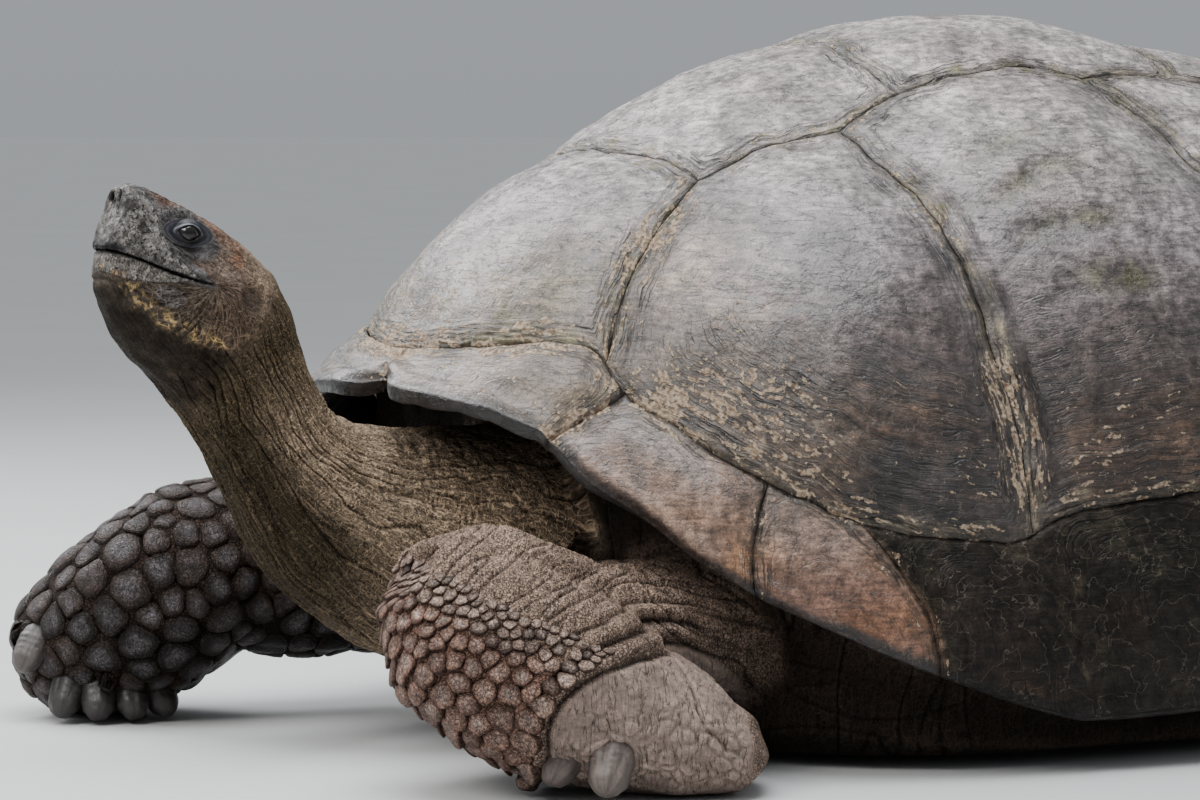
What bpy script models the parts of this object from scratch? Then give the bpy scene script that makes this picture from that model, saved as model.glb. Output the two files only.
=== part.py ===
"""A giant tortoise at rest, life size, as a still model.

The animal lies on its plastron with its forelegs spread, its neck raised and its head tipped up.
Metres, +Z up. The head points to -Y and the animal's left side is +X. The origin is on the floor,
under the middle of the shell, on the flat face of the plastron.
"""

from math import cos, degrees, pi, radians, sin, sqrt

import bmesh
import bpy
import numpy as np
from mathutils import Matrix, Vector

# ---- Driving dimensions -------------------------------------------------------------------------
SHELL_FRONT = 0.530  # from the origin to the front rim
SHELL_REAR = 0.560
SHELL_HALF_WIDTH = 0.425
SHELL_TOP = 0.588  # height of the dome before the scutes' own swelling
SHELL_WALL = 0.018
GAP = 0.0004  # clear space between neighbouring solids

# Height of the rim's lower edge at these angles round the shell, 0 at the front and 180 at the rear.
RIM_ANGLES = (0, 10, 20, 26, 31, 36, 43, 50, 65, 80, 95, 110, 130, 155, 180)
RIM_HEIGHTS = (0.302, 0.296, 0.287, 0.270, 0.232, 0.208, 0.170, 0.140, 0.088, 0.042, 0.048, 0.085,
               0.120, 0.125, 0.110)

# Where the marginal scutes end, as angles at their upper seam and at the rim, and how far down the
# dome the upper seam lies.
MARGINAL_ENDS = (0, 31.5, 49, 59.5, 76, 90, 101, 112, 124, 138, 153, 169)
MARGINAL_RIM_ENDS = (0, 27, 49, 67, 82, 94, 103, 112, 124, 138, 153, 169)
SEAM_ANGLES = (0, 28.5, 31.5, 39, 49, 60, 75, 79, 90, 110, 150, 180)
SEAM_DEPTHS = (0.830, 0.730, 0.762, 0.766, 0.788, 0.820, 0.824, 0.790, 0.795, 0.820, 0.840, 0.850)
COSTAL_ENDS = (28.5, 76, 104.5, 131, 160)  # where the costals' side seams reach the marginals

# Corners of the vertebral row on the left side, on a disc whose centre is the top of the shell and
# whose edge is the rim: (towards the left, towards the rear). The middle ones are the outer points.
VERTEBRAL_CORNERS = ((0.209, -0.402), (0.222, -0.136), (0.224, 0.130), (0.212, 0.400))
VERTEBRAL_POINTS = ((0.250, -0.225), (0.242, 0.030), (0.252, 0.285))

SWELL = {"vertebral_1": 0.022, "vertebral_2": 0.011, "vertebral_3": 0.014, "vertebral_4": 0.014,
         "vertebral_5": 0.018, "costal": 0.022, "marginal": 0.007}
NUCHAL_REACH = 0.022  # how far the first marginals stand out in front of the notch between them
SCUTE_STEP = 0.085  # the longest straight side of a plate's outline

# The head's and the neck's outline in the middle plane, from the snout to inside the trunk:
# (back y, back z, throat y, throat z, half width there).
HEAD = (
    (-0.762, 0.462, -0.784, 0.411, 0.021),  # the snout's front
    (-0.757, 0.4645, -0.785, 0.395, 0.028),
    (-0.748, 0.463, -0.785, 0.380, 0.034),  # nose to chin
    (-0.730, 0.4545, -0.778, 0.359, 0.040),
    (-0.711, 0.4455, -0.770, 0.342, 0.045),  # at the eyes
    (-0.687, 0.4325, -0.758, 0.324, 0.051),
    (-0.658, 0.412, -0.744, 0.313, 0.057),
    (-0.634, 0.388, -0.731, 0.300, 0.058),  # at the ears, where it is widest
    (-0.620, 0.362, -0.722, 0.288, 0.054),
    (-0.610, 0.332, -0.711, 0.276, 0.051),  # where the neck begins
)
NECK = (
    (-0.610, 0.332, -0.711, 0.276, 0.051),
    (-0.600, 0.305, -0.688, 0.242, 0.052),
    (-0.586, 0.281, -0.670, 0.208, 0.055),
    (-0.558, 0.267, -0.655, 0.175, 0.062),
    (-0.515, 0.262, -0.633, 0.143, 0.073),
    (-0.469, 0.262, -0.598, 0.113, 0.092),
    (-0.413, 0.262, -0.556, 0.085, 0.110),
    (-0.347, 0.258, -0.505, 0.062, 0.120),
)
# The horn of the beak, as wedges seen from the side: (y, z), the first corner being the mouth's.
BEAK_UPPER = ((-0.708, 0.3845), (-0.810, 0.4222), (-0.810, 0.456), (-0.765, 0.437))
BEAK_LOWER = ((-0.708, 0.3835), (-0.810, 0.4212), (-0.810, 0.393), (-0.773, 0.385), (-0.730, 0.381))
EYE_PLACE = (0.037, -0.7235, 0.424)
EYE_RADIUS = 0.0125

# Each limb's centre line on the left side: (x, y, z, half width along the ground, half height).
UPPER_ARM = (
    (0.185, -0.200, 0.112, 0.060, 0.055),
    (0.215, -0.350, 0.110, 0.068, 0.058),
    (0.238, -0.480, 0.110, 0.070, 0.062),
    (0.249, -0.575, 0.134, 0.070, 0.073),
    (0.254, -0.628, 0.136, 0.054, 0.058),
)
FOREARM_LEFT = (
    (0.252, -0.638, 0.165, 0.034, 0.034),
    (0.262, -0.606, 0.132, 0.078, 0.070),
    (0.283, -0.566, 0.104, 0.090, 0.076),
    (0.306, -0.524, 0.080, 0.086, 0.075),
    (0.327, -0.484, 0.058, 0.078, 0.060),
    (0.347, -0.446, 0.042, 0.072, 0.049),
    (0.362, -0.414, 0.028, 0.060, 0.032),
    (0.368, -0.403, 0.015, 0.042, 0.018),
)
FOREARM_RIGHT = (
    (0.205, -0.550, 0.168, 0.034, 0.034),
    (0.224, -0.574, 0.142, 0.078, 0.068),
    (0.254, -0.600, 0.114, 0.090, 0.078),
    (0.284, -0.624, 0.088, 0.090, 0.078),
    (0.312, -0.644, 0.066, 0.082, 0.070),
    (0.337, -0.659, 0.053, 0.072, 0.060),
    (0.358, -0.670, 0.042, 0.052, 0.043),
)
HIND_LEG = (
    (0.160, 0.250, 0.090, 0.040, 0.040),
    (0.200, 0.300, 0.088, 0.056, 0.056),
    (0.236, 0.365, 0.080, 0.068, 0.068),
    (0.256, 0.425, 0.070, 0.072, 0.072),
    (0.264, 0.470, 0.060, 0.070, 0.066),
    (0.268, 0.500, 0.052, 0.054, 0.056),
    (0.270, 0.515, 0.048, 0.030, 0.038),
)
TAIL = (
    (0.000, 0.330, 0.130, 0.050, 0.050),
    (0.000, 0.420, 0.110, 0.044, 0.042),
    (0.006, 0.470, 0.080, 0.034, 0.032),
    (0.020, 0.500, 0.050, 0.024, 0.023),
    (0.042, 0.512, 0.030, 0.015, 0.014),
    (0.060, 0.516, 0.020, 0.006, 0.006),
)

# Claws: each foot's middle (x, y), then for every claw its direction from there in degrees from
# +X (as on the left side), its distance and the height of its root.
FORE_CLAWS_LEFT = ((0.330, -0.484), (
    (-46, 0.076, 0.046), (-78, 0.076, 0.050), (-107, 0.076, 0.052), (-136, 0.076, 0.052),
    (-164, 0.076, 0.052),
))
FORE_CLAWS_RIGHT = ((0.312, -0.642), (
    (-108, 0.080, 0.080), (-131, 0.072, 0.043), (-153, 0.072, 0.041), (-175, 0.072, 0.041),
    (-197, 0.072, 0.041),
))
HIND_CLAWS = ((0.262, 0.450), (
    (-32, 0.070, 0.045), (0, 0.070, 0.045), (32, 0.070, 0.045), (64, 0.070, 0.045),
))
CLAW_LENGTH = 0.044
CLAW_RADIUS = 0.0135

# The trunk under the shell: how far down the dome it reaches, by angle, and its footprint.
TRUNK_ANGLES = (0, 18, 30, 42, 55, 70, 110, 140, 160, 180)
TRUNK_DEPTHS = (0.66, 0.68, 0.80, 0.90, 0.95, 0.96, 0.96, 0.92, 0.86, 0.84)
TRUNK_FOOT = (0.365, 0.375, 0.400)  # half width, to the front, to the rear
TRUNK_CLEAR = 0.006  # the trunk's clear space under the shell
PLASTRON = (0.300, 0.335, 0.400, 0.034)  # half width, to the front, to the rear, thickness

NECK_RING = 18
LEG_RING = 14
BODY_RING = 28

SKIN = ("skin", (0.19, 0.150, 0.120), 0.75)
SHELL = ("shell_horn", (0.23, 0.205, 0.190), 0.55)
BEAK = ("beak_horn", (0.22, 0.205, 0.195), 0.55)
CLAW = ("claw_horn", (0.12, 0.105, 0.095), 0.5)
EYE = ("eye", (0.02, 0.018, 0.018), 0.1)


# ---- Small tools --------------------------------------------------------------------------------
def clear_scene():
    for obj in list(bpy.data.objects):
        bpy.data.objects.remove(obj)


def material(look):
    name, colour, roughness = look
    found = bpy.data.materials.get(name)
    if found:
        return found
    made = bpy.data.materials.new(name)
    made.use_nodes = True
    shader = made.node_tree.nodes["Principled BSDF"]
    shader.inputs["Base Color"].default_value = (*colour, 1)
    shader.inputs["Roughness"].default_value = roughness
    shader.inputs["Metallic"].default_value = 0
    return made


def solid(name, points, faces, look):
    """A closed mesh object with its faces turned outwards."""
    mesh = bpy.data.meshes.new(name)
    mesh.from_pydata([tuple(p) for p in points], [], faces)
    shape = bmesh.new()
    shape.from_mesh(mesh)
    bmesh.ops.remove_doubles(shape, verts=shape.verts, dist=1e-6)
    bmesh.ops.triangulate(shape, faces=shape.faces)  # so that a cutter bends where its solid does
    bmesh.ops.recalc_face_normals(shape, faces=shape.faces)
    shape.to_mesh(mesh)
    shape.free()
    mesh.materials.append(material(look))
    mesh.shade_smooth()
    mesh.set_sharp_from_angle(angle=radians(50))
    obj = bpy.data.objects.new(name, mesh)
    bpy.context.scene.collection.objects.link(obj)
    return obj


def smooth(x):
    x = min(1.0, max(0.0, x))
    return x * x * (3 - 2 * x)


def blend_at(x, places, values):
    """A smooth curve through the values, one at each place."""
    if x <= places[0]:
        return values[0]
    for k in range(len(places) - 1):
        if x <= places[k + 1]:
            part = (x - places[k]) / (places[k + 1] - places[k])
            left = values[max(k - 1, 0)]
            right = values[min(k + 2, len(values) - 1)]
            a, b = values[k], values[k + 1]
            # Catmull-Rom, with the slopes held in so that it doesn't overshoot
            return a + (b - a) * part + 0.5 * part * (1 - part) * (
                (1 - part) * (2 * a - left - b) * 0.5 + part * (2 * b - a - right) * 0.5
            )
    return values[-1]


def evaluated_mesh(obj):
    bpy.context.view_layer.update()
    graph = bpy.context.evaluated_depsgraph_get()
    return bpy.data.meshes.new_from_object(obj.evaluated_get(graph))


def combine(obj, other, operation):
    """Applies one Boolean of other to obj. The other object is left as it is.

    The exact solver leaves doubled edges where a bent limb's rings cross, so this uses the other.
    """
    step = obj.modifiers.new("boolean", "BOOLEAN")
    step.object = other
    step.operation = operation
    step.solver = "MANIFOLD"
    mesh = evaluated_mesh(obj)
    obj.modifiers.clear()
    obj.data = mesh
    return obj


def grown(obj, distance=GAP):
    """A copy of obj, larger by the distance all over: a cutter that leaves that gap."""
    copy = obj.copy()
    copy.data = obj.data.copy()
    bpy.context.scene.collection.objects.link(copy)
    normals = [v.normal.copy() for v in copy.data.vertices]
    for vertex, normal in zip(copy.data.vertices, normals):
        vertex.co += normal * distance
    return copy


def apart(obj, other):
    """Whether the two objects' boxes are clear of each other."""
    boxes = [np.array([v.co for v in o.data.vertices]) for o in (obj, other)]
    lows, highs = [b.min(axis=0) for b in boxes], [b.max(axis=0) for b in boxes]
    return bool((lows[0] > highs[1] + GAP).any() or (lows[1] > highs[0] + GAP).any())


def subtract(obj, *others):
    """Cuts each of the others out of obj, with the gap between them."""
    for other in others:
        if apart(obj, other):
            continue
        cutter = grown(other)
        combine(obj, cutter, "DIFFERENCE")
        bpy.data.objects.remove(cutter)
    return obj


def ring(centre, side, up, width, rise, drop, power, count):
    """A closed loop of points: a superellipse with its own height above and below its centre."""
    points = []
    for k in range(count):
        angle = 2 * pi * k / count
        c, s = cos(angle), sin(angle)
        across = abs(c) ** (2 / power) * (1 if c >= 0 else -1)
        over = abs(s) ** (2 / power) * (1 if s >= 0 else -1)
        height = rise if s >= 0 else drop
        points.append(Vector(centre) + Vector(side) * width * across + Vector(up) * height * over)
    return points


def loft(name, rings, look):
    """A closed tube through the rings, with its two ends domed to a point at the ring's middle."""
    count = len(rings[0])
    points = [p for r in rings for p in r]
    faces = []
    for k in range(len(rings) - 1):
        for j in range(count):
            n = (j + 1) % count
            faces.append((k * count + j, k * count + n, (k + 1) * count + n, (k + 1) * count + j))
    for at, loop in ((0, rings[0]), (len(rings) - 1, rings[-1])):
        points.append(sum(loop, Vector()) / count)
        middle = len(points) - 1
        faces += [(at * count + j, at * count + (j + 1) % count, middle) for j in range(count)]
    return solid(name, points, faces, look)


# ---- The shell's surface ------------------------------------------------------------------------
def rim_point(angle, depth=1.0):
    """The plan and height of the rim at an angle in degrees, 0 at the front, growing to the left."""
    turn = radians(angle)
    s, c = sin(turn), cos(turn)
    along = SHELL_FRONT if c > 0 else SHELL_REAR
    x = SHELL_HALF_WIDTH * abs(s) ** 0.88 * (1 if s > 0 else -1)
    away = abs((angle + 180) % 360 - 180)
    along += NUCHAL_REACH * depth**12 * smooth(away / 5) * smooth((40 - away) / 22)
    y = along * abs(c) ** 0.80 * (-1 if c > 0 else 1)
    return x, y, blend_at(away, RIM_ANGLES, RIM_HEIGHTS)


def dome_point(angle, depth):
    """A point of the dome, with depth 0 at its top and 1 at the rim."""
    c = cos(radians(angle))
    front = max(c, 0) ** 1.5
    rear = max(-c, 0) ** 1.5
    side = 1 - front - rear
    spread = front * 1.0 + side * 0.92 + rear * 0.85
    fall = front * 1.85 + side * 1.0 + rear * 1.05
    x, y, z = rim_point(angle, depth)
    out = sin(pi / 2 * depth) ** spread
    high = max(cos(pi / 2 * depth), 0) ** fall
    return Vector((x * out, y * out, z + (SHELL_TOP - z) * high))


def on_disc(a, b):
    """The angle and depth of a point given on the disc, a to the left and b to the rear."""
    return degrees(np.arctan2(a, -b)), sqrt(a * a + b * b)


def dome_inside(angle, depth, wall):
    """A point the wall's thickness inside the dome, measured square to it."""
    step = 0.01
    here = min(max(depth, 2 * step), 1 - step)
    along = dome_point(angle, here + step) - dome_point(angle, here - step)
    around = dome_point(angle + 1, here) - dome_point(angle - 1, here)
    inward = along.cross(around).normalized()
    if inward.dot(Vector((0, 0, 0.2)) - dome_point(angle, here)) < 0:
        inward = -inward
    if depth < 2 * step:
        inward = Vector((0, 0, -1))
    return dome_point(angle, depth) + inward * wall


# ---- Scutes -------------------------------------------------------------------------------------
def seam_depth(angle):
    """How far down the dome the marginal scutes' upper seam is."""
    away = abs((angle + 180) % 360 - 180)
    return float(np.interp(away, SEAM_ANGLES, SEAM_DEPTHS))


def seam_corner(angle):
    return (angle, seam_depth(angle))


def cuts_between(p, q):
    """How many straight sides the outline needs between two of its corners."""
    return max(1, round((dome_point(*p) - dome_point(*q)).length / SCUTE_STEP))


def seam_stops(first, last):
    """Angles of the corners along the marginals' upper seam, from one angle to another."""
    fixed = sorted({*MARGINAL_ENDS[1:], *COSTAL_ENDS, 0, 5, 180})
    ends = [first, *(a for a in fixed if first < a < last), last]
    stops = []
    for a, b in zip(ends, ends[1:]):
        cuts = cuts_between(seam_corner(a), seam_corner(b))
        stops += [a + (b - a) * c / cuts for c in range(cuts)]
    return [*stops, last]


def seam_run(first, last):
    return [seam_corner(a) for a in seam_stops(first, last)]


def mirrored(corners):
    return [(-angle, depth) for angle, depth in reversed(corners)]


def vertebral_outlines():
    """The five scutes along the back, from the front, each as corners of (angle, depth)."""
    corners = [on_disc(*c) for c in VERTEBRAL_CORNERS]
    points = [on_disc(*p) for p in VERTEBRAL_POINTS]
    outlines = [seam_run(0, COSTAL_ENDS[0]) + [corners[0]]]
    for k in range(3):
        outlines.append([corners[k], points[k], corners[k + 1]])
    outlines.append([corners[3]] + seam_run(COSTAL_ENDS[4], 180))
    whole = []
    for k, left in enumerate(outlines):
        right = mirrored(left)
        if k == 0:
            right = right[:-1]  # both halves hold the point on the middle line
        if k == 4:
            right = right[1:]
        whole.append(left + right)
    return whole


def costal_outlines():
    """The four scutes down the left side, from the front."""
    corners = [on_disc(*c) for c in VERTEBRAL_CORNERS]
    points = [on_disc(*p) for p in VERTEBRAL_POINTS]
    tops = [
        [points[0], corners[0]],
        [points[1], corners[1], points[0]],
        [points[2], corners[2], points[1]],
        [corners[3], points[2]],
    ]
    return [seam_run(COSTAL_ENDS[k], COSTAL_ENDS[k + 1]) + tops[k] for k in range(4)]


def between(p, q, part, polar):
    """A point part of the way from p to q, both (angle, depth): round the shell, or straight."""
    if polar:
        turn = (q[0] - p[0] + 180) % 360 - 180
        return (p[0] + turn * part, p[1] + (q[1] - p[1]) * part)
    ends = [np.array((d * sin(radians(a)), -d * cos(radians(a)))) for a, d in (p, q)]
    return on_disc(*(ends[0] + (ends[1] - ends[0]) * part))


def wall_faces(points, a, b, inner):
    """The plate's edge between two outer corners, cut the same way on both sides of a seam."""
    if points[a].y + 0.4 * abs(points[a].x) < points[b].y + 0.4 * abs(points[b].x):
        return [(a, b, inner + b), (a, inner + b, inner + a)]
    return [(a, b, inner + a), (b, inner + b, inner + a)]


def scute(name, outline, swell, rings=(0.45, 0.8)):
    """One plate: its outline filled from its middle outwards, swollen, and given its wall."""
    flat = [np.array((d * sin(radians(a)), -d * cos(radians(a)))) for a, d in outline]
    middle = on_disc(*(sum(flat) / len(flat)))
    edge = []
    for k, corner in enumerate(outline):
        following = outline[(k + 1) % len(outline)]
        along_seam = corner[1] > 0.7 and following[1] > 0.7
        cuts = cuts_between(corner, following)
        edge += [between(corner, following, c / cuts, along_seam) for c in range(cuts)]

    def layer(inside):
        points = []
        for share in (*rings, 1.0):
            for place in edge:
                angle, depth = between(middle, place, share, False)
                lift = -SHELL_WALL if inside else swell * (1 - share**2.4)
                points.append(dome_inside(angle, depth, -lift))
        loop = points[-len(edge):]
        centroid = sum(loop, Vector()) / len(loop)
        points[-len(edge):] = [p + (centroid - p).normalized() * GAP / 2 for p in loop]
        return points + [dome_inside(*middle, SHELL_WALL if inside else -swell)]

    outer, inner = layer(False), layer(True)
    count, total = len(edge), len(outer)
    faces = []
    for start in (0, total):
        for k in range(len(rings)):
            for j in range(count):
                n = (j + 1) % count
                a, b = start + k * count, start + (k + 1) * count
                faces.append((a + j, a + n, b + n, b + j))
        faces += [(start + j, start + (j + 1) % count, start + total - 1) for j in range(count)]
    last = len(rings) * count
    points = outer + inner
    for j in range(count):
        faces += wall_faces(points, last + j, last + (j + 1) % count, total)
    return solid(name, points, faces, SHELL)


def rim_angle(angle):
    """The angle at the rim of the line that leaves the upper seam at this angle."""
    if angle > 180:
        return 360 - rim_angle(360 - angle)
    return float(np.interp(angle, (*MARGINAL_ENDS, 180), (*MARGINAL_RIM_ENDS, 180)))


def band(name, first, last, flip=False, rows=3):
    """The marginal plates between two seam angles, as one solid with its wall."""
    if last > 180:
        half = seam_stops(first, 180)
        columns = half + [360 - a for a in reversed(half[:-1])]
    else:
        columns = seam_stops(first, last)
    points = []
    for inside in (False, True):
        for row in range(rows):
            down = row / (rows - 1)
            for k, angle in enumerate(columns):
                turn = angle + (rim_angle(angle) - angle) * down
                depth = seam_depth(angle) + (1 - seam_depth(angle)) * down
                rise = SWELL["marginal"] * sin(pi * down) * sin(pi * k / (len(columns) - 1)) ** 0.5
                place = dome_inside(turn, depth, SHELL_WALL if inside else -rise)
                points.append(Vector((-place.x, place.y, place.z)) if flip else place)
    count, total = len(columns), rows * len(columns)
    for start in (0, total):
        for row in range(rows):
            for k in (0, count - 1):
                at = start + row * count + k
                inwards = points[start + row * count + (1 if k == 0 else count - 2)] - points[at]
                points[at] = points[at] + inwards.normalized() * GAP / 2
        for k in range(count):
            inwards = points[start + count + k] - points[start + k]
            points[start + k] = points[start + k] + inwards.normalized() * GAP / 2
    faces = []
    for start in (0, total):
        for row in range(rows - 1):
            for k in range(count - 1):
                a = start + row * count + k
                faces.append((a, a + 1, a + count + 1, a + count))
    for k in range(count - 1):
        for at in (k, total - count + k):
            faces += wall_faces(points, at, at + 1, total)
    for row in range(rows - 1):
        for at in (row * count, row * count + count - 1):
            faces += wall_faces(points, at, at + count, total)
    return solid(name, points, faces, SHELL)


def build_carapace():
    for k, outline in enumerate(vertebral_outlines()):
        scute(f"vertebral_{k + 1}", outline, SWELL[f"vertebral_{k + 1}"])
    marginals = {"1": (0, 1), "2": (1, 2), "3": (2, 3), "4_5": (3, 5), "6_7": (5, 7), "8_9": (7, 9),
                 "10_11": (9, 11)}
    for side in ("left", "right"):
        flip = side == "right"
        for k, outline in enumerate(costal_outlines()):
            outline = mirrored(outline) if flip else outline
            scute(f"costal_{k + 1}_{side}", outline, SWELL["costal"])
        for name, (first, last) in marginals.items():
            band(f"marginal_{name}_{side}", MARGINAL_ENDS[first], MARGINAL_ENDS[last], flip)
    band("supracaudal", MARGINAL_ENDS[11], 360 - MARGINAL_ENDS[11])


# ---- The flesh ----------------------------------------------------------------------------------
def biggest_body(obj):
    """Leaves only the one of the object's separate bodies that has the largest surface."""
    shape = bmesh.new()
    shape.from_mesh(obj.data)
    waiting = set(shape.faces)
    bodies = []
    while waiting:
        body = []
        reached = [waiting.pop()]
        while reached:
            face = reached.pop()
            body.append(face)
            near = {other for link in face.edges for other in link.link_faces} & waiting
            waiting -= near
            reached += near
        bodies.append(body)
    bodies.sort(key=lambda body: sum(face.calc_area() for face in body))
    for body in bodies[:-1]:
        bmesh.ops.delete(shape, geom=body, context="FACES")
    shape.to_mesh(obj.data)
    shape.free()
    return obj


def build_trunk():
    """The body inside the shell: under the dome, and down to its footprint on the plastron."""
    half_width, front, rear = TRUNK_FOOT
    count = BODY_RING
    levels = (0.14, 0.36, 0.58, 0.80, 1.0)
    wall = SHELL_WALL + TRUNK_CLEAR
    points, faces = [dome_inside(0, 0, wall)], []
    for level in levels:
        for k in range(count):
            angle = 360 * k / count
            away = abs((angle + 180) % 360 - 180)
            depth = level * blend_at(away, TRUNK_ANGLES, TRUNK_DEPTHS)
            points.append(dome_inside(angle, depth, wall))
    for share, height in ((0.55, 0.45), (1.06, 0.10), (1.0, 0.010)):
        for k in range(count):
            turn = 2 * pi * k / count
            s, c = sin(turn), cos(turn)
            foot = Vector((
                half_width * abs(s) ** 0.75 * (1 if s >= 0 else -1),
                (front if c > 0 else rear) * abs(c) ** 0.75 * (-1 if c > 0 else 1),
                0,
            ))
            top = points[1 + 4 * count + k]
            inside = Vector((top.x, top.y, 0))
            plan = inside + (foot - inside) * min(share, 1)
            if share > 1:
                plan = foot * share
            points.append(Vector((plan.x, plan.y, 0.010 + (top.z - 0.010) * height)))
            if height == 0.010:
                points[-1].z = height
    rows = len(levels) + 3
    for row in range(rows - 1):
        for j in range(count):
            n = (j + 1) % count
            a, b = 1 + row * count, 1 + (row + 1) * count
            faces.append((a + j, a + n, b + n, b + j))
    faces += [(0, 1 + (j + 1) % count, 1 + j) for j in range(count)]
    last = 1 + (rows - 1) * count
    points.append(Vector((0, 0, 0.010)))
    faces += [(last + j, last + (j + 1) % count, len(points) - 1) for j in range(count)]
    return solid("trunk", points, faces, SKIN)


def build_plastron():
    """The flat shell under the body, with its edges rising to the sides."""
    half_width, front, rear, thickness = PLASTRON
    count = BODY_RING
    middle = (rear - front) / 2
    points, faces = [Vector((0, middle, 0))], []
    for share, height in ((0.90, 0.0), (1.0, 0.008), (1.01, 0.6 * thickness), (0.97, thickness)):
        for k in range(count):
            turn = 2 * pi * k / count
            s, c = sin(turn), cos(turn)
            x = half_width * abs(s) ** 0.80 * (1 if s >= 0 else -1)
            y = (front if c > 0 else rear) * abs(c) ** 0.80 * (-1 if c > 0 else 1)
            points.append(Vector((x * share, y * share, height)))
    for row in range(3):
        for j in range(count):
            n = (j + 1) % count
            a, b = 1 + row * count, 1 + (row + 1) * count
            faces.append((a + j, a + n, b + n, b + j))
    points.append(Vector((0, middle, thickness)))
    last = 1 + 3 * count
    faces += [(0, 1 + j, 1 + (j + 1) % count) for j in range(count)]
    faces += [(last + j, last + (j + 1) % count, len(points) - 1) for j in range(count)]
    return solid("plastron", points, faces, SHELL)


def station_ring(station):
    back_y, back_z, throat_y, throat_z, half_width = station
    back, throat = Vector((0, back_y, back_z)), Vector((0, throat_y, throat_z))
    centre = (back + throat) / 2
    up = (back - throat) / 2
    return ring(centre, (1, 0, 0), up, half_width, 1, 1, 2.1, NECK_RING)


def limb(name, line, flip, look=SKIN):
    """A tube along a centre line, flattened where it would go through the floor."""
    places = [Vector((-p[0] if flip else p[0], p[1], p[2])) for p in line]
    rings = []
    for k, (place, row) in enumerate(zip(places, line)):
        ahead = places[min(k + 1, len(line) - 1)] - places[max(k - 1, 0)]
        side = ahead.cross(Vector((0, 0, 1))).normalized()
        up = side.cross(ahead).normalized()
        rings.append(ring(place, side, up, row[3], row[4], row[4], 2.2, LEG_RING))
    for loop in rings:
        for point in loop:
            point.z = max(point.z, 0.0)
    return loft(name, rings, look)


def claw(name, foot, distance, direction, height, flip):
    """A blunt claw that leans out and down from the front of a foot."""
    turn = radians(direction)
    out = Vector((cos(turn), sin(turn), 0))
    if flip:
        out.x = -out.x
    middle = Vector((-foot[0] if flip else foot[0], foot[1], height))
    root = middle + out * (distance - 0.014)
    down = (out * 0.62 + Vector((0, 0, -0.78))).normalized()
    side = down.cross(out).normalized()
    up = side.cross(down).normalized()
    rings = []
    for along, width in ((0.0, 0.80), (0.35, 1.0), (0.8, 0.82), (1.0, 0.40)):
        place = root + down * CLAW_LENGTH * along
        thick = CLAW_RADIUS * width * 0.85
        rings.append(ring(place, side, up, CLAW_RADIUS * width, thick, thick, 2.0, 7))
    return loft(name, rings, CLAW)


def claws(side, fore, feet):
    foot, places = feet
    made = []
    for k, (direction, distance, height) in enumerate(places):
        name = f"claw_{fore}_{side}_{k + 1}"
        made.append(claw(name, foot, distance, direction, height, side == "right"))
    return made


def prism(outline, reach=0.12):
    """A block with this side view, (y, z), across the animal."""
    count = len(outline)
    points = [(x, y, z) for x in (-reach, reach) for y, z in outline]
    faces = [tuple(range(count)), tuple(range(2 * count - 1, count - 1, -1))]
    faces += [(j, (j + 1) % count, count + (j + 1) % count, count + j) for j in range(count)]
    return solid("block", points, faces, SKIN)


def ball(name, centre, radius):
    shape = bmesh.new()
    bmesh.ops.create_uvsphere(shape, u_segments=12, v_segments=8, radius=radius)
    mesh = bpy.data.meshes.new(name)
    bmesh.ops.translate(shape, verts=shape.verts, vec=centre)
    shape.to_mesh(mesh)
    shape.free()
    mesh.materials.append(material(EYE))
    mesh.shade_smooth()
    obj = bpy.data.objects.new(name, mesh)
    bpy.context.scene.collection.objects.link(obj)
    return obj


def build_head():
    """The head with its beak and its eyes cut in, and the neck below it."""
    head = loft("head", [station_ring(s) for s in HEAD], SKIN)
    neck = loft("neck", [station_ring(s) for s in NECK], SKIN)
    nodes = [head, neck]
    parts = []
    for name, outline in (("beak_upper", BEAK_UPPER), ("beak_lower", BEAK_LOWER)):
        block = prism(outline)
        horn = head.copy()
        horn.data = head.data.copy()
        horn.name = name
        bpy.context.scene.collection.objects.link(horn)
        combine(horn, block, "INTERSECT")
        horn.data.materials.clear()
        horn.data.materials.append(material(BEAK))
        bpy.data.objects.remove(block)
        parts.append(horn)
    subtract(head, *parts)
    for side in (1, -1):
        place = (EYE_PLACE[0] * side, EYE_PLACE[1], EYE_PLACE[2])
        eye = ball("eye_left" if side > 0 else "eye_right", place, EYE_RADIUS)
        subtract(head, eye)
        parts.append(eye)
    return nodes + parts


def build_body():
    plastron = build_plastron()
    trunk = build_trunk()
    shell = [o for o in bpy.data.objects if o not in (plastron, trunk)]
    subtract(trunk, plastron)
    head, neck, *_ = build_head()
    subtract(neck, trunk, head)
    biggest_body(neck)
    subtract(neck, *shell)
    tail = limb("tail", TAIL, False)
    subtract(tail, trunk, *[o for o in shell if o.name == "supracaudal"])
    biggest_body(tail)
    for side, forearm, fore_feet in (
        ("left", FOREARM_LEFT, FORE_CLAWS_LEFT),
        ("right", FOREARM_RIGHT, FORE_CLAWS_RIGHT),
    ):
        flip = side == "right"
        foreleg = limb(f"foreleg_{side}", UPPER_ARM, flip)
        lower = limb("lower", forearm, flip)
        combine(foreleg, lower, "UNION")
        bpy.data.objects.remove(lower)
        near = [o for o in shell if o.name.endswith(side) or o.name == "vertebral_1"]
        subtract(foreleg, *claws(side, "fore", fore_feet), trunk, neck, plastron)
        subtract(foreleg, *near)
        biggest_body(foreleg)
        hind = limb(f"hind_leg_{side}", HIND_LEG, flip)
        subtract(hind, *claws(side, "hind", HIND_CLAWS), trunk, plastron, tail)
        subtract(hind, *near)
        biggest_body(hind)


clear_scene()
build_carapace()
build_body()
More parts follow.
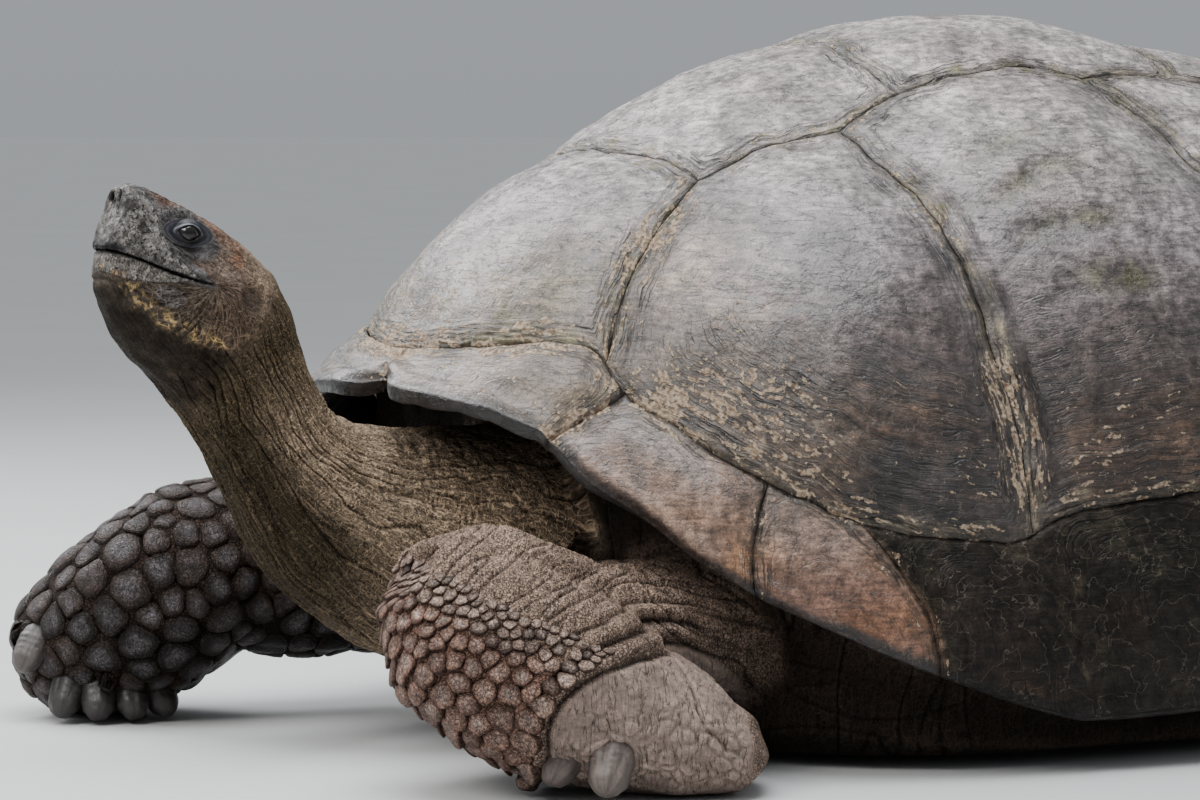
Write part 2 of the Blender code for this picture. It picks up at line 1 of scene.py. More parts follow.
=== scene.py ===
"""The looks of a still, life-size giant tortoise: skin, scales, horn and shell plates over the frame.

Metres, +Z up, the head towards -Y and the animal's left side at +X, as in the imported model.
"""

from math import cos, pi, radians, sin

import bmesh
import bpy
import numpy as np
from mathutils import Matrix, Vector
from mathutils.bvhtree import BVHTree
from mathutils.kdtree import KDTree


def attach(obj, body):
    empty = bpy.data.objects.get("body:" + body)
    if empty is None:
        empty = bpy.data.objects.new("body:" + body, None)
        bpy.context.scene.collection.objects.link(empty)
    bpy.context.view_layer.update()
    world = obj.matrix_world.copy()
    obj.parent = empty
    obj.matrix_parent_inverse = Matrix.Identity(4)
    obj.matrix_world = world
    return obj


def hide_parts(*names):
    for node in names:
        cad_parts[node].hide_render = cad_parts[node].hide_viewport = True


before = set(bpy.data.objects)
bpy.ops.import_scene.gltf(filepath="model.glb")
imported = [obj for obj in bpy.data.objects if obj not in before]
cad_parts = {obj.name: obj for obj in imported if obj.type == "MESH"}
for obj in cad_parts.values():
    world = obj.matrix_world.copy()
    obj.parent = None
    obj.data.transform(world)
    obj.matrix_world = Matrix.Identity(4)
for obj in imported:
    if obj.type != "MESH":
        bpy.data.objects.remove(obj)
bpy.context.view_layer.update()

# ---- Sizes --------------------------------------------------------------------------------------
FLESH = ("trunk", "neck", "head", "tail", "foreleg_left", "foreleg_right", "hind_leg_left",
         "hind_leg_right")
BEAK = ("beak_upper", "beak_lower")
VOXEL, CLAW_VOXEL = 0.004, 0.0016  # how finely flesh and claws are grown together
SKIN_DEPTH = 0.0008  # how far the skin lies inside the flesh, under its scales
HORN_SINK, HORN_THICKNESS = 0.0014, 0.0024
HALF_GAP = 0.0003  # what each shell plate keeps clear of its seam

# The outline of the head and neck, snout first: (back y, back z, throat y, throat z).
NECK_LINE = (
    (-0.762, 0.460, -0.783, 0.412),
    (-0.748, 0.461, -0.785, 0.380),
    (-0.730, 0.452, -0.778, 0.359),
    (-0.712, 0.441, -0.770, 0.342),
    (-0.688, 0.425, -0.758, 0.324),
    (-0.660, 0.409, -0.744, 0.313),
    (-0.634, 0.388, -0.731, 0.300),
    (-0.610, 0.332, -0.711, 0.276),
    (-0.600, 0.305, -0.688, 0.242),
    (-0.586, 0.281, -0.670, 0.208),
    (-0.558, 0.267, -0.655, 0.175),
    (-0.515, 0.262, -0.633, 0.143),
    (-0.469, 0.262, -0.598, 0.113),
    (-0.413, 0.262, -0.556, 0.085),
    (-0.347, 0.258, -0.505, 0.062),
)
HEAD_PITCH = radians(28)
EYE_PLACE = Vector((0.0355, -0.7235, 0.424))
EYE_RADIUS = 0.0118
FOOT_LEFT = Vector((0.335, -0.470, 0.062))
FOOT_RIGHT = Vector((-0.318, -0.648, 0.066))
SIDES = {"left": 1, "right": -1}
FLESH_SWELL, EYE_CORE = 0.0006, 0.010  # of the flesh and eyes that are grown together
# What the shell hides is trimmed inside two ovals: (middle), (half width, half length).
DOME_TRIM, DOME_TRIM_LEVEL, DOME_TRIM_FRONT = ((0, 0.03), (0.37, 0.44)), 0.31, -0.26
PLASTRON_TRIM, PLASTRON_TRIM_LEVEL = ((0, 0.03), (0.27, 0.30)), 0.0365
LINE_STEP = 0.003
SHRINK, SWELL_BACK = 0.5, 0.52  # the two halves of a round of smoothing


# ---- Arrays -------------------------------------------------------------------------------------
def packed(*columns):
    """Columns of numbers put side by side, a row for each point."""
    return np.stack(columns, axis=1)


def lengths(vectors):
    return np.linalg.norm(vectors, axis=1)


def run_lengths(line):
    """How far along a line of points each one is."""
    return np.concatenate([[0], np.cumsum(lengths(np.diff(line, axis=0)))])


def unit(vector):
    return vector / np.linalg.norm(vector)


def ease(x):
    """Goes smoothly from 0 to 1 as x does, and stays there."""
    x = np.clip(x, 0, 1)
    return x * x * (3 - 2 * x)


def bump(x, middle, width):
    """A smooth hump, 1 at its middle and 0 a width away."""
    return ease(1 - np.abs(x - middle) / width)


def bell(x, width):
    return np.exp(-((x / width) ** 2))


def ring_of(a, b, place, size):
    """How far out from an oval's middle a point is, 1 on its edge."""
    return np.sqrt(((a - place[0]) / size[0]) ** 2 + ((b - place[1]) / size[1]) ** 2)


def oval(a, b, place, size):
    """1 in the middle of an oval and 0 at its edge and beyond."""
    return ease(1 - ring_of(a, b, place, size))


def signed(angle):
    """The same angle, between -180 and 180 degrees."""
    return (angle + 180) % 360 - 180


# ---- Noise --------------------------------------------------------------------------------------
def hashed(cell, seed):
    """A repeatable 32-bit number for each whole-numbered cell."""
    c = cell.astype(np.int64).astype(np.uint32)
    h = c[:, 0] * np.uint32(374761393) + c[:, 1] * np.uint32(668265263)
    h += c[:, 2] * np.uint32(2246822519) + np.uint32(seed * 3266489917 & 0xFFFFFFFF)
    h = (h ^ (h >> np.uint32(15))) * np.uint32(2246822519)
    h = (h ^ (h >> np.uint32(13))) * np.uint32(3266489917)
    return h ^ (h >> np.uint32(16))


def noise(points, seed):
    """Gradient noise between about -1 and 1."""
    cell = np.floor(points)
    inside = points - cell
    fade = inside**3 * (inside * (inside * 6 - 15) + 10)
    total = np.zeros(len(points))
    for corner in np.ndindex(2, 2, 2):
        step = np.array(corner)
        h = hashed(cell + step, seed)
        away = inside - step
        slope = sum(
            (((h >> np.uint32(8 * k)) & np.uint32(255)) / 127.5 - 1) * away[:, k] for k in range(3)
        )
        weight = np.prod(np.where(step, fade, 1 - fade), axis=1)
        total += weight * slope
    return total * 1.6


def fractal(points, octaves, seed):
    total, strength = np.zeros(len(points)), 1.0
    for k in range(octaves):
        total += noise(points * 2.03**k, seed + k) * strength
        strength *= 0.5
    return total


def cells(points, seed):
    """Distances to the nearest and second nearest of scattered points, and the nearest's number."""
    cell = np.floor(points)
    first = np.full(len(points), 9.0)
    second = first.copy()
    number = np.zeros(len(points), np.uint32)
    for corner in np.ndindex(3, 3, 3):
        near = cell + np.array(corner) - 1
        h = hashed(near, seed)
        place = near + packed(*[((h >> np.uint32(8 * k)) & np.uint32(255)) / 255 for k in range(3)])
        away = np.sqrt(((points - place) ** 2).sum(axis=1))
        nearer = away < first
        second = np.where(nearer, first, np.minimum(second, away))
        number = np.where(nearer, h, number)
        first = np.where(nearer, away, first)
    return first, second, (number >> np.uint32(8)) % np.uint32(1000) / 1000


def creases(points, sharp, seed):
    """1 along thin winding lines, and 0 away from them."""
    return np.clip(1 - np.abs(noise(points, seed)) / sharp, 0, 1) ** 2


# ---- Meshes -------------------------------------------------------------------------------------
def rows_of(data, name, width=3):
    """A mesh's numbers of one kind, as an array with a row for each of its parts."""
    flat = np.empty(len(data) * width, np.float32)
    data.foreach_get(name, flat)
    return flat.reshape(-1, width).astype(np.float64)


def whole_of(data, name, width=1):
    """The same for whole numbers, in one long row."""
    flat = np.empty(len(data) * width, np.int32)
    data.foreach_get(name, flat)
    return flat


def points_of(mesh):
    return rows_of(mesh.vertices, "co")


def put_points(mesh, points):
    mesh.vertices.foreach_set("co", points.astype(np.float32).ravel())
    mesh.update()


def normals_of(mesh):
    return rows_of(mesh.vertex_normals, "vector")


def tints_of(mesh):
    return rows_of(mesh.attributes["tint"].data, "vector")


def edges_of(mesh):
    return whole_of(mesh.edges, "vertices", 2).reshape(-1, 2)


def averaged(values, edges, rounds=1):
    """Each point's values replaced by the mean of its neighbours', so many times over."""
    degree = np.maximum(np.bincount(edges.ravel(), minlength=len(values)), 1)
    for _ in range(rounds):
        out = np.empty_like(values)
        for k in range(values.shape[1]):
            total = np.bincount(edges[:, 0], values[edges[:, 1], k], len(values))
            total += np.bincount(edges[:, 1], values[edges[:, 0], k], len(values))
            out[:, k] = total / degree
        values = out
    return values


def smoothed(points, edges, rounds, strength=None):
    """Takes out small facets with little loss of volume; strength is 0 to 1 at each point."""
    share = 1.0 if strength is None else strength[:, None]
    for _ in range(rounds):
        points = points + (averaged(points, edges) - points) * SHRINK * share
        points = points - (averaged(points, edges) - points) * SWELL_BACK * share
    return points


def put_values(mesh, **named):
    """Stores numbers or vectors on the mesh's points, for its material."""
    for name, values in named.items():
        values = np.asarray(values, np.float32)
        kind = "FLOAT" if values.ndim == 1 else "FLOAT_VECTOR"
        made = mesh.attributes.new(name, kind, "POINT")
        made.data.foreach_set("value" if values.ndim == 1 else "vector", values.ravel())


def linked(name, data):
    """A new object of the scene."""
    obj = bpy.data.objects.new(name, data)
    bpy.context.scene.collection.objects.link(obj)
    return obj


def dress(mesh, look):
    mesh.materials.clear()
    mesh.materials.append(look)


def add_piece(name, mesh, look, *nodes):
    """A piece that rides the body, in place of CAD nodes or added to its skin."""
    piece = linked(name, mesh)
    dress(mesh, look)
    mesh.shade_smooth()
    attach(piece, "root")
    if nodes:
        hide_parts(*nodes)


def mesh_from(points, faces):
    mesh = bpy.data.meshes.new("made")
    mesh.from_pydata([tuple(p) for p in points], [], faces)
    mesh.update()
    return mesh


def reworked(mesh, kind, **settings):
    """The mesh with a modifier applied to it."""
    obj = linked("reworked", mesh)
    step = obj.modifiers.new("step", kind)
    for name, value in settings.items():
        setattr(step, name, value)
    bpy.context.view_layer.update()
    graph = bpy.context.evaluated_depsgraph_get()
    made = bpy.data.meshes.new_from_object(obj.evaluated_get(graph))
    bpy.data.objects.remove(obj)
    return made


def regrown(mesh, voxel):
    return reworked(mesh, "REMESH", mode="VOXEL", voxel_size=voxel)


def refine(mesh, chosen):
    """Cuts each face whose points are all chosen in four."""
    shape = bmesh.new()
    shape.from_mesh(mesh)
    faces = [f for f in shape.faces if all(chosen[v.index] for v in f.verts)]
    edges = list({e for f in faces for e in f.edges})
    bmesh.ops.subdivide_edges(shape, edges=edges, cuts=1, use_grid_fill=True)
    shape.to_mesh(mesh)
    shape.free()


def solid_tree(name):
    """A CAD node's surface, to measure distances to."""
    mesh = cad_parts[name].data
    return BVHTree.FromPolygons([v.co for v in mesh.vertices], [p.vertices for p in mesh.polygons])


def eye_middle(side):
    return np.array((EYE_PLACE.x * side, EYE_PLACE.y, EYE_PLACE.z))


# ---- The flesh, as one surface ------------------------------------------------------------------
def joined_flesh():
    """The flesh nodes, and the horn and eyes set in them, grown together into one mesh."""
    whole = bmesh.new()
    for name in (*FLESH, *BEAK):
        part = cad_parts[name].data.copy()
        points = points_of(part)
        put_points(part, points + normals_of(part) * FLESH_SWELL)
        whole.from_mesh(part)
        bpy.data.meshes.remove(part)
    for side in SIDES.values():
        place = Matrix.Translation(eye_middle(side))
        bmesh.ops.create_uvsphere(whole, u_segments=16, v_segments=10, radius=EYE_CORE, matrix=place)
    bmesh.ops.triangulate(whole, faces=whole.faces)
    mesh = bpy.data.meshes.new("flesh")
    whole.to_mesh(mesh)
    whole.free()
    return regrown(mesh, VOXEL)


def trimmed(mesh):
    """Takes off what the shell hides, and closes the openings flat."""
    shape = bmesh.new()
    shape.from_mesh(mesh)
    hidden = []
    for vertex in shape.verts:
        x, y, z = vertex.co
        under_dome = z > DOME_TRIM_LEVEL and y > DOME_TRIM_FRONT and ring_of(x, y, *DOME_TRIM) < 1
        on_plastron = z < PLASTRON_TRIM_LEVEL and ring_of(x, y, *PLASTRON_TRIM) < 1
        if under_dome or on_plastron:
            hidden.append(vertex)
    bmesh.ops.delete(shape, geom=hidden, context="VERTS")
    bmesh.ops.holes_fill(shape, edges=[e for e in shape.edges if e.is_boundary], sides=0)
    shape.to_mesh(mesh)
    shape.free()


def sampled_line(stations):
    """The middle line through the stations, smoothed: how far along, places, and to the back."""
    back = np.array([(0, s[0], s[1]) for s in stations])
    throat = np.array([(0, s[2], s[3]) for s in stations])
    middle = (back + throat) / 2
    along = run_lengths(middle)
    places = np.arange(0, along[-1], LINE_STEP)

    def spread(values):
        out = packed(*[np.interp(places, along, v) for v in values.T])
        padded = np.pad(out, ((7, 7), (0, 0)), mode="edge")
        return sum(padded[k : k + len(out)] for k in range(15)) / 15

    up = spread(back - throat)
    return places, spread(middle), up / lengths(up)[:, None]


def neck_places(points):
    """Along the neck, round it from the nape, and out from its middle line."""
    along, middle, up = sampled_line(NECK_LINE)
    tree = KDTree(len(middle))
    for k, place in enumerate(middle):
        tree.insert(place, k)
    tree.balance()
    nearest = np.array([tree.find(p)[1] for p in points])
    away = points - middle[nearest]
    ahead = np.cross(up[nearest], (1.0, 0.0, 0.0))
    slip = (away * ahead).sum(axis=1)
    rise = (away * up[nearest]).sum(axis=1)
    turn = np.arctan2(away[:, 0], rise)
    return along[nearest] - slip, turn, np.hypot(away[:, 0], rise)


def head_places(points):
    """In the head's own frame from between the eyes: forwards, up and sideways."""
    forward = np.array((0, -cos(HEAD_PITCH), sin(HEAD_PITCH)))
    up = np.array((0, sin(HEAD_PITCH), cos(HEAD_PITCH)))
    away = points - np.array((0, EYE_PLACE.y, EYE_PLACE.z))
    return away @ forward, away @ up, np.abs(points[:, 0])


def mouth_height(a):
    """How high the line of the mouth is at each place along the head."""
    return np.interp(a, (-0.034, -0.020, 0.005, 0.030, 0.046, 0.060),
                     (-0.0275, -0.0305, -0.0345, -0.0365, -0.0390, -0.0415))


def tone(red, green, blue):
    """A colour given as it looks on screen, 0 to 255, as linear light."""
    return np.array([((c / 255 + 0.055) / 1.055) ** 2.4 for c in (red, green, blue)])


def paint(base, colour, share):
    return base + (np.asarray(colour) - base) * np.clip(share, 0, 1)[:, None]


def painted(base, *coats):
    """The colours of the coats laid over the base one by one, each with its own share."""
    for colour, share in coats:
        base = paint(base, tone(*colour), share)
    return base


def plain(colour, count):
    """One colour for every point."""
    return np.tile(tone(*colour), (count, 1))


def nearness(points, node, reach):
    """1 on the node's own surface, falling to 0 at that distance from it."""
    tree = solid_tree(node)
    away = np.array([reach if (hit := tree.find_nearest(p, reach))[3] is None else hit[3]
                     for p in points])
    return ease(1 - away / reach)


# ---- The head's relief --------------------------------------------------------------------------
EYE_OVAL = (0.0205, 0.0130)
EAR_PLACE, EAR_OVAL = (-0.0705, -0.0232), (0.0135, 0.0112)
CHEEK_PLACE, CHEEK_OVAL = (-0.007, -0.0526), (0.0140, 0.0080)
MOUTH_CORNER = (-0.034, -0.0280)
NOSTRIL = (0.0050, 0.0072)


def horn_shares(a, b):
    """How much each point belongs to the upper and to the lower horn of the beak."""
    over = b - mouth_height(a)
    top = np.interp(a, (-0.036, -0.020, 0.000, 0.012, 0.024, 0.040, 0.060),
                    (-0.0285, -0.0265, -0.0200, -0.0130, 0.0020, 0.0200, 0.0280))
    low = np.interp(a, (-0.024, -0.0135, 0.005, 0.026, 0.045, 0.060),
                    (-0.0300, -0.0375, -0.0480, -0.0565, -0.0575, -0.0575))
    upper = ease((top - b) / 0.0035) * (over > 0)
    lower = ease((b - low) / 0.0030) * (over <= 0) * (a > -0.023)
    return upper, lower


def nostril_reach(a, b, x):
    """How far a point is from the middle of a nostril, which is taller than it is wide."""
    return np.sqrt(((b - NOSTRIL[0]) / 1.25) ** 2 + (x - NOSTRIL[1]) ** 2) + 9 * (a < 0.03)


def head_relief(points):
    """How far the head's features stand out from its plain form, in metres."""
    a, b, x = head_places(points)
    over = b - mouth_height(a)
    face = ease((a + 0.037) / 0.007)
    side = ease((x - 0.012) / 0.012)
    high = np.zeros(len(points))
    # the eye's socket, the brow over it and the fold under it
    socket = ring_of(a, b, (0, 0), EYE_OVAL)
    high -= 0.0042 * ease((1.22 - socket) / 0.55) * side
    high += 0.0034 * oval(a, b, (0.003, 0.0200), (0.030, 0.011)) * side
    high += 0.0014 * oval(a, b, (-0.002, -0.0190), (0.026, 0.007)) * side
    high -= 0.0016 * oval(a, b, (0.030, -0.006), (0.017, 0.016)) * side
    # the lips, with the upper beak over the lower
    line = over + 0.0007 * noise(points * 130, 6)
    high -= 0.0034 * bell(line, 0.0010) * face
    high += 0.0005 * bump(line, 0.0040, 0.0050) * face
    fold = ease((0.026 - a) / 0.016) * ease((a + 0.036) / 0.008)
    high += 0.0020 * bump(over, 0.0070, 0.0060) * fold - 0.0012 * bump(over, 0.0150, 0.0035) * fold
    high -= 0.0014 * ease(-line / 0.0012) * ease((0.022 + line) / 0.014) * face
    front = ease((a - 0.040) / 0.010) * ease((0.016 - x) / 0.010)
    high += 0.0013 * bump(over, 0.0010, 0.0060) * front
    high -= 0.0032 * bump(over, -0.0030, 0.0040) * front
    high += 0.0035 * oval(a, b, (0.056, 0.009), (0.022, 0.016))
    # the nostrils
    pit = nostril_reach(a, b, x)
    high -= 0.0080 * bell(pit, 0.0026)
    high += 0.0011 * bell(pit - 0.0046, 0.0014)
    high -= 0.0012 * bell(x, 0.0030) * bump(b, 0.004, 0.010) * (a > 0.035)
    # the ear, the jaw's muscle, and the plate under the corner of the mouth
    ear = ring_of(a, b, EAR_PLACE, EAR_OVAL)
    ear_line = ear + 0.22 * noise(points * 70, 7)
    high -= 0.0032 * ease((1.15 - ear_line) / 0.6) * side
    high += 0.0007 * bump(ear_line, 1.45, 0.40) * side
    high += 0.0034 * oval(a, b, (-0.044, -0.036), (0.034, 0.024)) * side
    high -= 0.0016 * oval(a, b, (-0.036, -0.012), (0.020, 0.012)) * side
    plate = ring_of(a, b, CHEEK_PLACE, CHEEK_OVAL)
    high += 0.0008 * ease((1.0 - plate) / 0.25) * side
    high -= 0.0005 * bump(plate, 1.14, 0.18) * side
    high -= 0.0010 * bump(b, -0.0600, 0.0025) * ease((a + 0.010) / 0.01) * face
    # folds that run round the corner of the mouth and back over the jaw
    back, down = MOUTH_CORNER[0] - a, b - MOUTH_CORNER[1]
    reach, turn = np.hypot(back, down), np.arctan2(down, back)
    swirl = packed(turn * 6.4 + reach * 34, reach * 22, x * 8)
    where = ease((reach - 0.002) / 0.006) * ease((0.062 - reach) / 0.03) * ease((0.7 - turn) / 0.4)
    where *= side * (1 - 0.8 * ease((1.3 - ear) / 0.3))
    high -= 0.0013 * creases(swirl, 0.30, 5) * where
    swirl = packed(turn * 13 + reach * 60, reach * 40, x * 8)
    high -= 0.0007 * creases(swirl, 0.42, 8) * where
    # the scales of the crown
    crown = ease((b - 0.008) / 0.010) * ease((0.046 - a) / 0.01)
    crown = np.maximum(crown, ease((-0.016 - a) / 0.012) * ease((over - 0.004) / 0.010))
    crown *= ease((socket - 1.1) / 0.2) * ease((ear - 1.1) / 0.3) * ease((a + 0.095) / 0.02)
    near, second, number = cells(points * 165, 3)
    high += crown * (0.0007 * ease((second - near) / 0.35) - 0.0005 + 0.0004 * number)
    return high


def head_tint(points, base):
    """The head's markings, with its painted shade, laid over the neck's."""
    a, b, _ = head_places(points)
    over = b - mouth_height(a)
    socket = ring_of(a, b, (0, 0), EYE_OVAL)
    ear = ring_of(a, b, EAR_PLACE, EAR_OVAL)
    blotch = fractal(points * 90, 3, 11)
    fine = fractal(points * 210, 3, 12)
    head = ease((a + 0.098 + 0.10 * np.clip(b + 0.04, -0.06, 0.03) + 0.006 * blotch) / 0.03)
    crown = ease((b - 0.006) / 0.01) * ease(blotch * 1.4 + 0.1) * ease((0.034 - a) / 0.012)
    # the slate grey of the snout, that runs on under the eye to the corner of the mouth
    edge = np.interp(a, (-0.040, -0.010, 0.010, 0.030, 0.045), (-0.024, -0.014, 0.006, 0.018, 0.040))
    slate = ease((edge - b + 0.003 * blotch) / 0.008) * ease((a + 0.042) / 0.012)
    slate = np.maximum(slate, ease((1.7 - socket) / 0.5))
    tip = ease((a - 0.034) / 0.008) * bump(over, 0.002, 0.009)
    # the plate of the cheek, the back of the jaw, and the dark throat, painted shade under the head,
    # with ochre at its edge
    plate = ring_of(a, b, CHEEK_PLACE, CHEEK_OVAL)
    band = np.interp(a, (-0.070, -0.040, -0.010, 0.013, 0.024),
                     (-0.066, -0.069, -0.0695, -0.064, -0.058)) + 0.0040 * blotch
    throat = ease((band - 0.001 - b) / 0.010)
    ochre = bump(b, band, 0.0080) * ease((0.030 - a) / 0.008) * ease((a + 0.075) / 0.02)
    ochre *= ease((fractal(points * 190, 3, 23) - 0.02) / 0.25)
    line = over + 0.0007 * noise(points * 130, 6)
    crack = 0.0010 + 0.0006 * noise(points * 90, 24)
    colour = painted(
        plain((86, 73, 64), len(points)),
        ((108, 87, 73), ease((b - 0.004) / 0.012) * ease((0.030 - a) / 0.012)),
        ((52, 36, 31), crown * 0.8),
        ((114, 99, 88), oval(a, b, (-0.034, -0.008), (0.026, 0.018)) * 0.75),
        ((124, 84, 60), oval(a, b, (-0.048, 0.002), (0.012, 0.013)) * ease(fine * 0.8 + 0.6) * 0.7),
        ((84, 81, 80), slate * (over > -0.03)),
        ((50, 47, 48), slate * ease(fine * 1.1 - 0.05) * 0.85),
        ((112, 108, 108), slate * bump(over, 0.0075, 0.0045) * 0.6 * ease((0.036 - a) / 0.008)),
        ((24, 22, 23), tip * 0.92),
        ((70, 62, 54), ease((-over - 0.002) / 0.004)),
        ((78, 74, 74), ease((1.05 - plate) / 0.3) * 0.8),
        ((46, 41, 38), bump(plate, 1.12, 0.16) * ease((a + 0.05) / 0.02) * 0.35),
        ((98, 82, 69), ease((-0.030 - a) / 0.02) * ease((-0.028 - b) / 0.01) * 0.6),
        ((134, 116, 98), ease((-0.050 - a) / 0.02) * ease((b + 0.022) / 0.02) * 0.75),
        ((27, 23, 17), throat * (0.80 + 0.20 * blotch)),
        ((158, 134, 94), ochre * 0.8),
        ((56, 49, 44), ease((1.10 - ear) / 0.5) * 0.65),
        # painted shade along the line of the mouth
        ((24, 21, 20), bell(line, crack) * ease((a + 0.037) / 0.007)),
    )
    colour = colour * (1 + 0.20 * fine)[:, None]
    return base + (colour - base) * head[:, None]


# ---- Folds and markings of the neck, legs and body ----------------------------------------------
SCALY_LEVEL, SCALY_SLOPE, SCALY_FROM = 0.0773, 0.43, 0.0043  # the edge of the left leg's scales


def foot_places(points):
    """Round the near foot's dome: out from its middle, 1 on its edge, the turn about it, and along."""
    along = 0.5 * (points[:, 0] - FOOT_LEFT.x) + 0.866 * (points[:, 1] + 0.475)
    rise = points[:, 2] - 0.037
    return np.hypot(along / 0.078, rise / 0.072), np.arctan2(rise, -along), along


def scaly_left(points):
    """Where the left foreleg carries scales rather than fine-grained skin."""
    out, _, along = foot_places(points)
    line = SCALY_LEVEL - points[:, 2] - SCALY_SLOPE * (along - SCALY_FROM)
    outer = ease((line + 0.010) / 0.020)
    return outer * ease((out - 1.16) / 0.12)


def neck_relief(points, weight):
    along, turn, reach = neck_places(points)
    round_it = turn * 0.075
    side = ease((np.abs(turn) - 0.45) / 0.5)
    warp = 0.010 * noise(points * 16, 31) + 0.004 * noise(points * 45, 32)
    low = ease((along - 0.10) / 0.06)
    flow = packed(along * 5 + 9 * warp, (round_it + warp) * 70, points[:, 0] * 3)
    high = -0.0030 * creases(flow, 0.20, 33) * side * low
    flow = packed(along * 12, (round_it - warp) * 170, points[:, 0] * 6)
    high -= 0.0009 * creases(flow, 0.26, 34) * (0.35 + 0.65 * side) * low
    slanting = packed((along + round_it * 0.8) * 70, (round_it - along * 0.2) * 40, points[:, 0] * 5)
    high -= 0.0008 * creases(slanting, 0.20, 38) * low
    nape = ease((0.95 - np.abs(turn)) / 0.5) * ease((along - 0.15) / 0.03) * ease((0.44 - along) / 0.06)
    rings = packed((along + 1.3 * warp) * 62, round_it * 11, points[:, 0] * 4)
    high -= 0.0034 * creases(rings, 0.30, 35) * nape
    base = ease((along - 0.30) / 0.08)
    whorl = packed((along + 2.5 * warp) * 48, (round_it + 2.0 * warp) * 42, points[:, 0] * 9)
    high -= 0.0022 * creases(whorl, 0.26, 36) * base
    high += 0.0012 * fractal(points * 38, 2, 37)
    return high * weight, along, turn, reach


def left_leg_relief(points, weight):
    out, turn, along = foot_places(points)
    warp = 0.05 * noise(points * 22, 41)
    over_top = ease((turn + 0.5) / 0.5) * ease((2.25 - turn) / 0.5)
    spot = out + warp
    high = -0.0034 * bell(spot - 1.03, 0.035) * over_top
    high += 0.0042 * bell(spot - 1.15, 0.070) * over_top
    high -= 0.0034 * bell(spot - 1.27, 0.028) * over_top
    high += 0.0026 * bell(spot - 1.37, 0.060) * over_top
    high -= 0.0030 * bell(spot - 1.48, 0.030) * over_top
    # creases that lie round the foot, over the upper arm
    upper = ease((spot - 1.5) / 0.15) * (1 - 0.7 * scaly_left(points))
    arcs = packed(spot * 5.6, turn * 1.5, points[:, 0] * 3)
    high -= 0.0026 * creases(arcs, 0.16, 42) * upper
    arcs = packed(spot * 13, turn * 2.6, points[:, 0] * 6)
    high -= 0.0010 * creases(arcs, 0.28, 43) * upper
    # the fan of folds behind it, under the shell
    down, forth = 0.176 - points[:, 2], along + 0.0215
    fan, reach = np.arctan2(down, forth), np.hypot(down, forth)
    folds = packed(fan * 5.2 + 0.9 * noise(points * 12, 44), reach * 5, points[:, 0] * 2)
    spread = bump(fan, 0.85, 0.75) * ease((reach - 0.006) / 0.03) * ease((0.22 - reach) / 0.10)
    high -= 0.0040 * creases(folds, 0.24, 45) * spread
    # the foot's own low scales, clearest round the claws
    foot = ease((1.0 - out) / 0.10)
    near, second, number = cells(points * 88 + 0.5 * noise(points * 40, 47)[:, None], 46)
    clear = 0.0009 + 0.0010 * ease((0.075 - points[:, 2]) / 0.03)
    high += foot * (clear * (ease((second - near) / 0.35) - 0.6) + 0.0003 * number)
    high += foot * 0.0004 * fractal(points * 150, 2, 48)
    return high * weight


def right_leg_relief(points, weight):
    """Deep creases between the big scales' rows, and folds above the elbow."""
    warp = 0.012 * noise(points * 14, 51)
    rows = packed((points[:, 2] + 0.6 * points[:, 0] + warp) * 26, points[:, 1] * 6, points[:, 0] * 4)
    return (-0.0040 * creases(rows, 0.20, 52) + 0.0018 * fractal(points * 30, 2, 53)) * weight


def body_relief(points, weight):
    """The loose skin between the legs and under the shell, with a lattice of creases."""
    along = 0.5 * points[:, 0] + 0.866 * points[:, 1]
    warp = 0.010 * noise(points * 11, 61)
    upright = packed((along + warp) * 40, points[:, 2] * 6, points[:, 0] * 3)
    high = -0.0028 * creases(upright, 0.17, 62)
    level = packed(along * 7, (points[:, 2] + warp) * 34, points[:, 0] * 3)
    high -= 0.0014 * creases(level, 0.20, 63)
    high += 0.0030 * fractal(points * 14, 2, 64)
    return high * weight


def drawn_back(points, edges, normals):
    """Brings the head back out to its solids where smoothing rounded it off."""
    trees = [solid_tree(name) for name in ("head", *BEAK)]
    on_head = (points[:, 1] < -0.62) & (points[:, 2] > 0.28) & (np.abs(points[:, 0]) < 0.08)
    lack = np.zeros((len(points), 1))
    for k in np.flatnonzero(on_head):
        start, way = Vector(points[k] - normals[k] * 0.006), Vector(normals[k])
        reach = [hit[3] - 0.006 for tree in trees if (hit := tree.ray_cast(start, way, 0.02))[0]]
        lack[k] = max(reach, default=0)
    lack = averaged(lack, edges, 3)
    return points + normals * lack * (1.1 * ease((-0.63 - points[:, 1]) / 0.05))[:, None]


def hollows(points, normals, edges, rounds):
    """Above 0 in a crease and below 0 on a ridge, on the scale of a few millimetres."""
    return ((averaged(points, edges, rounds) - points) * normals).sum(axis=1)


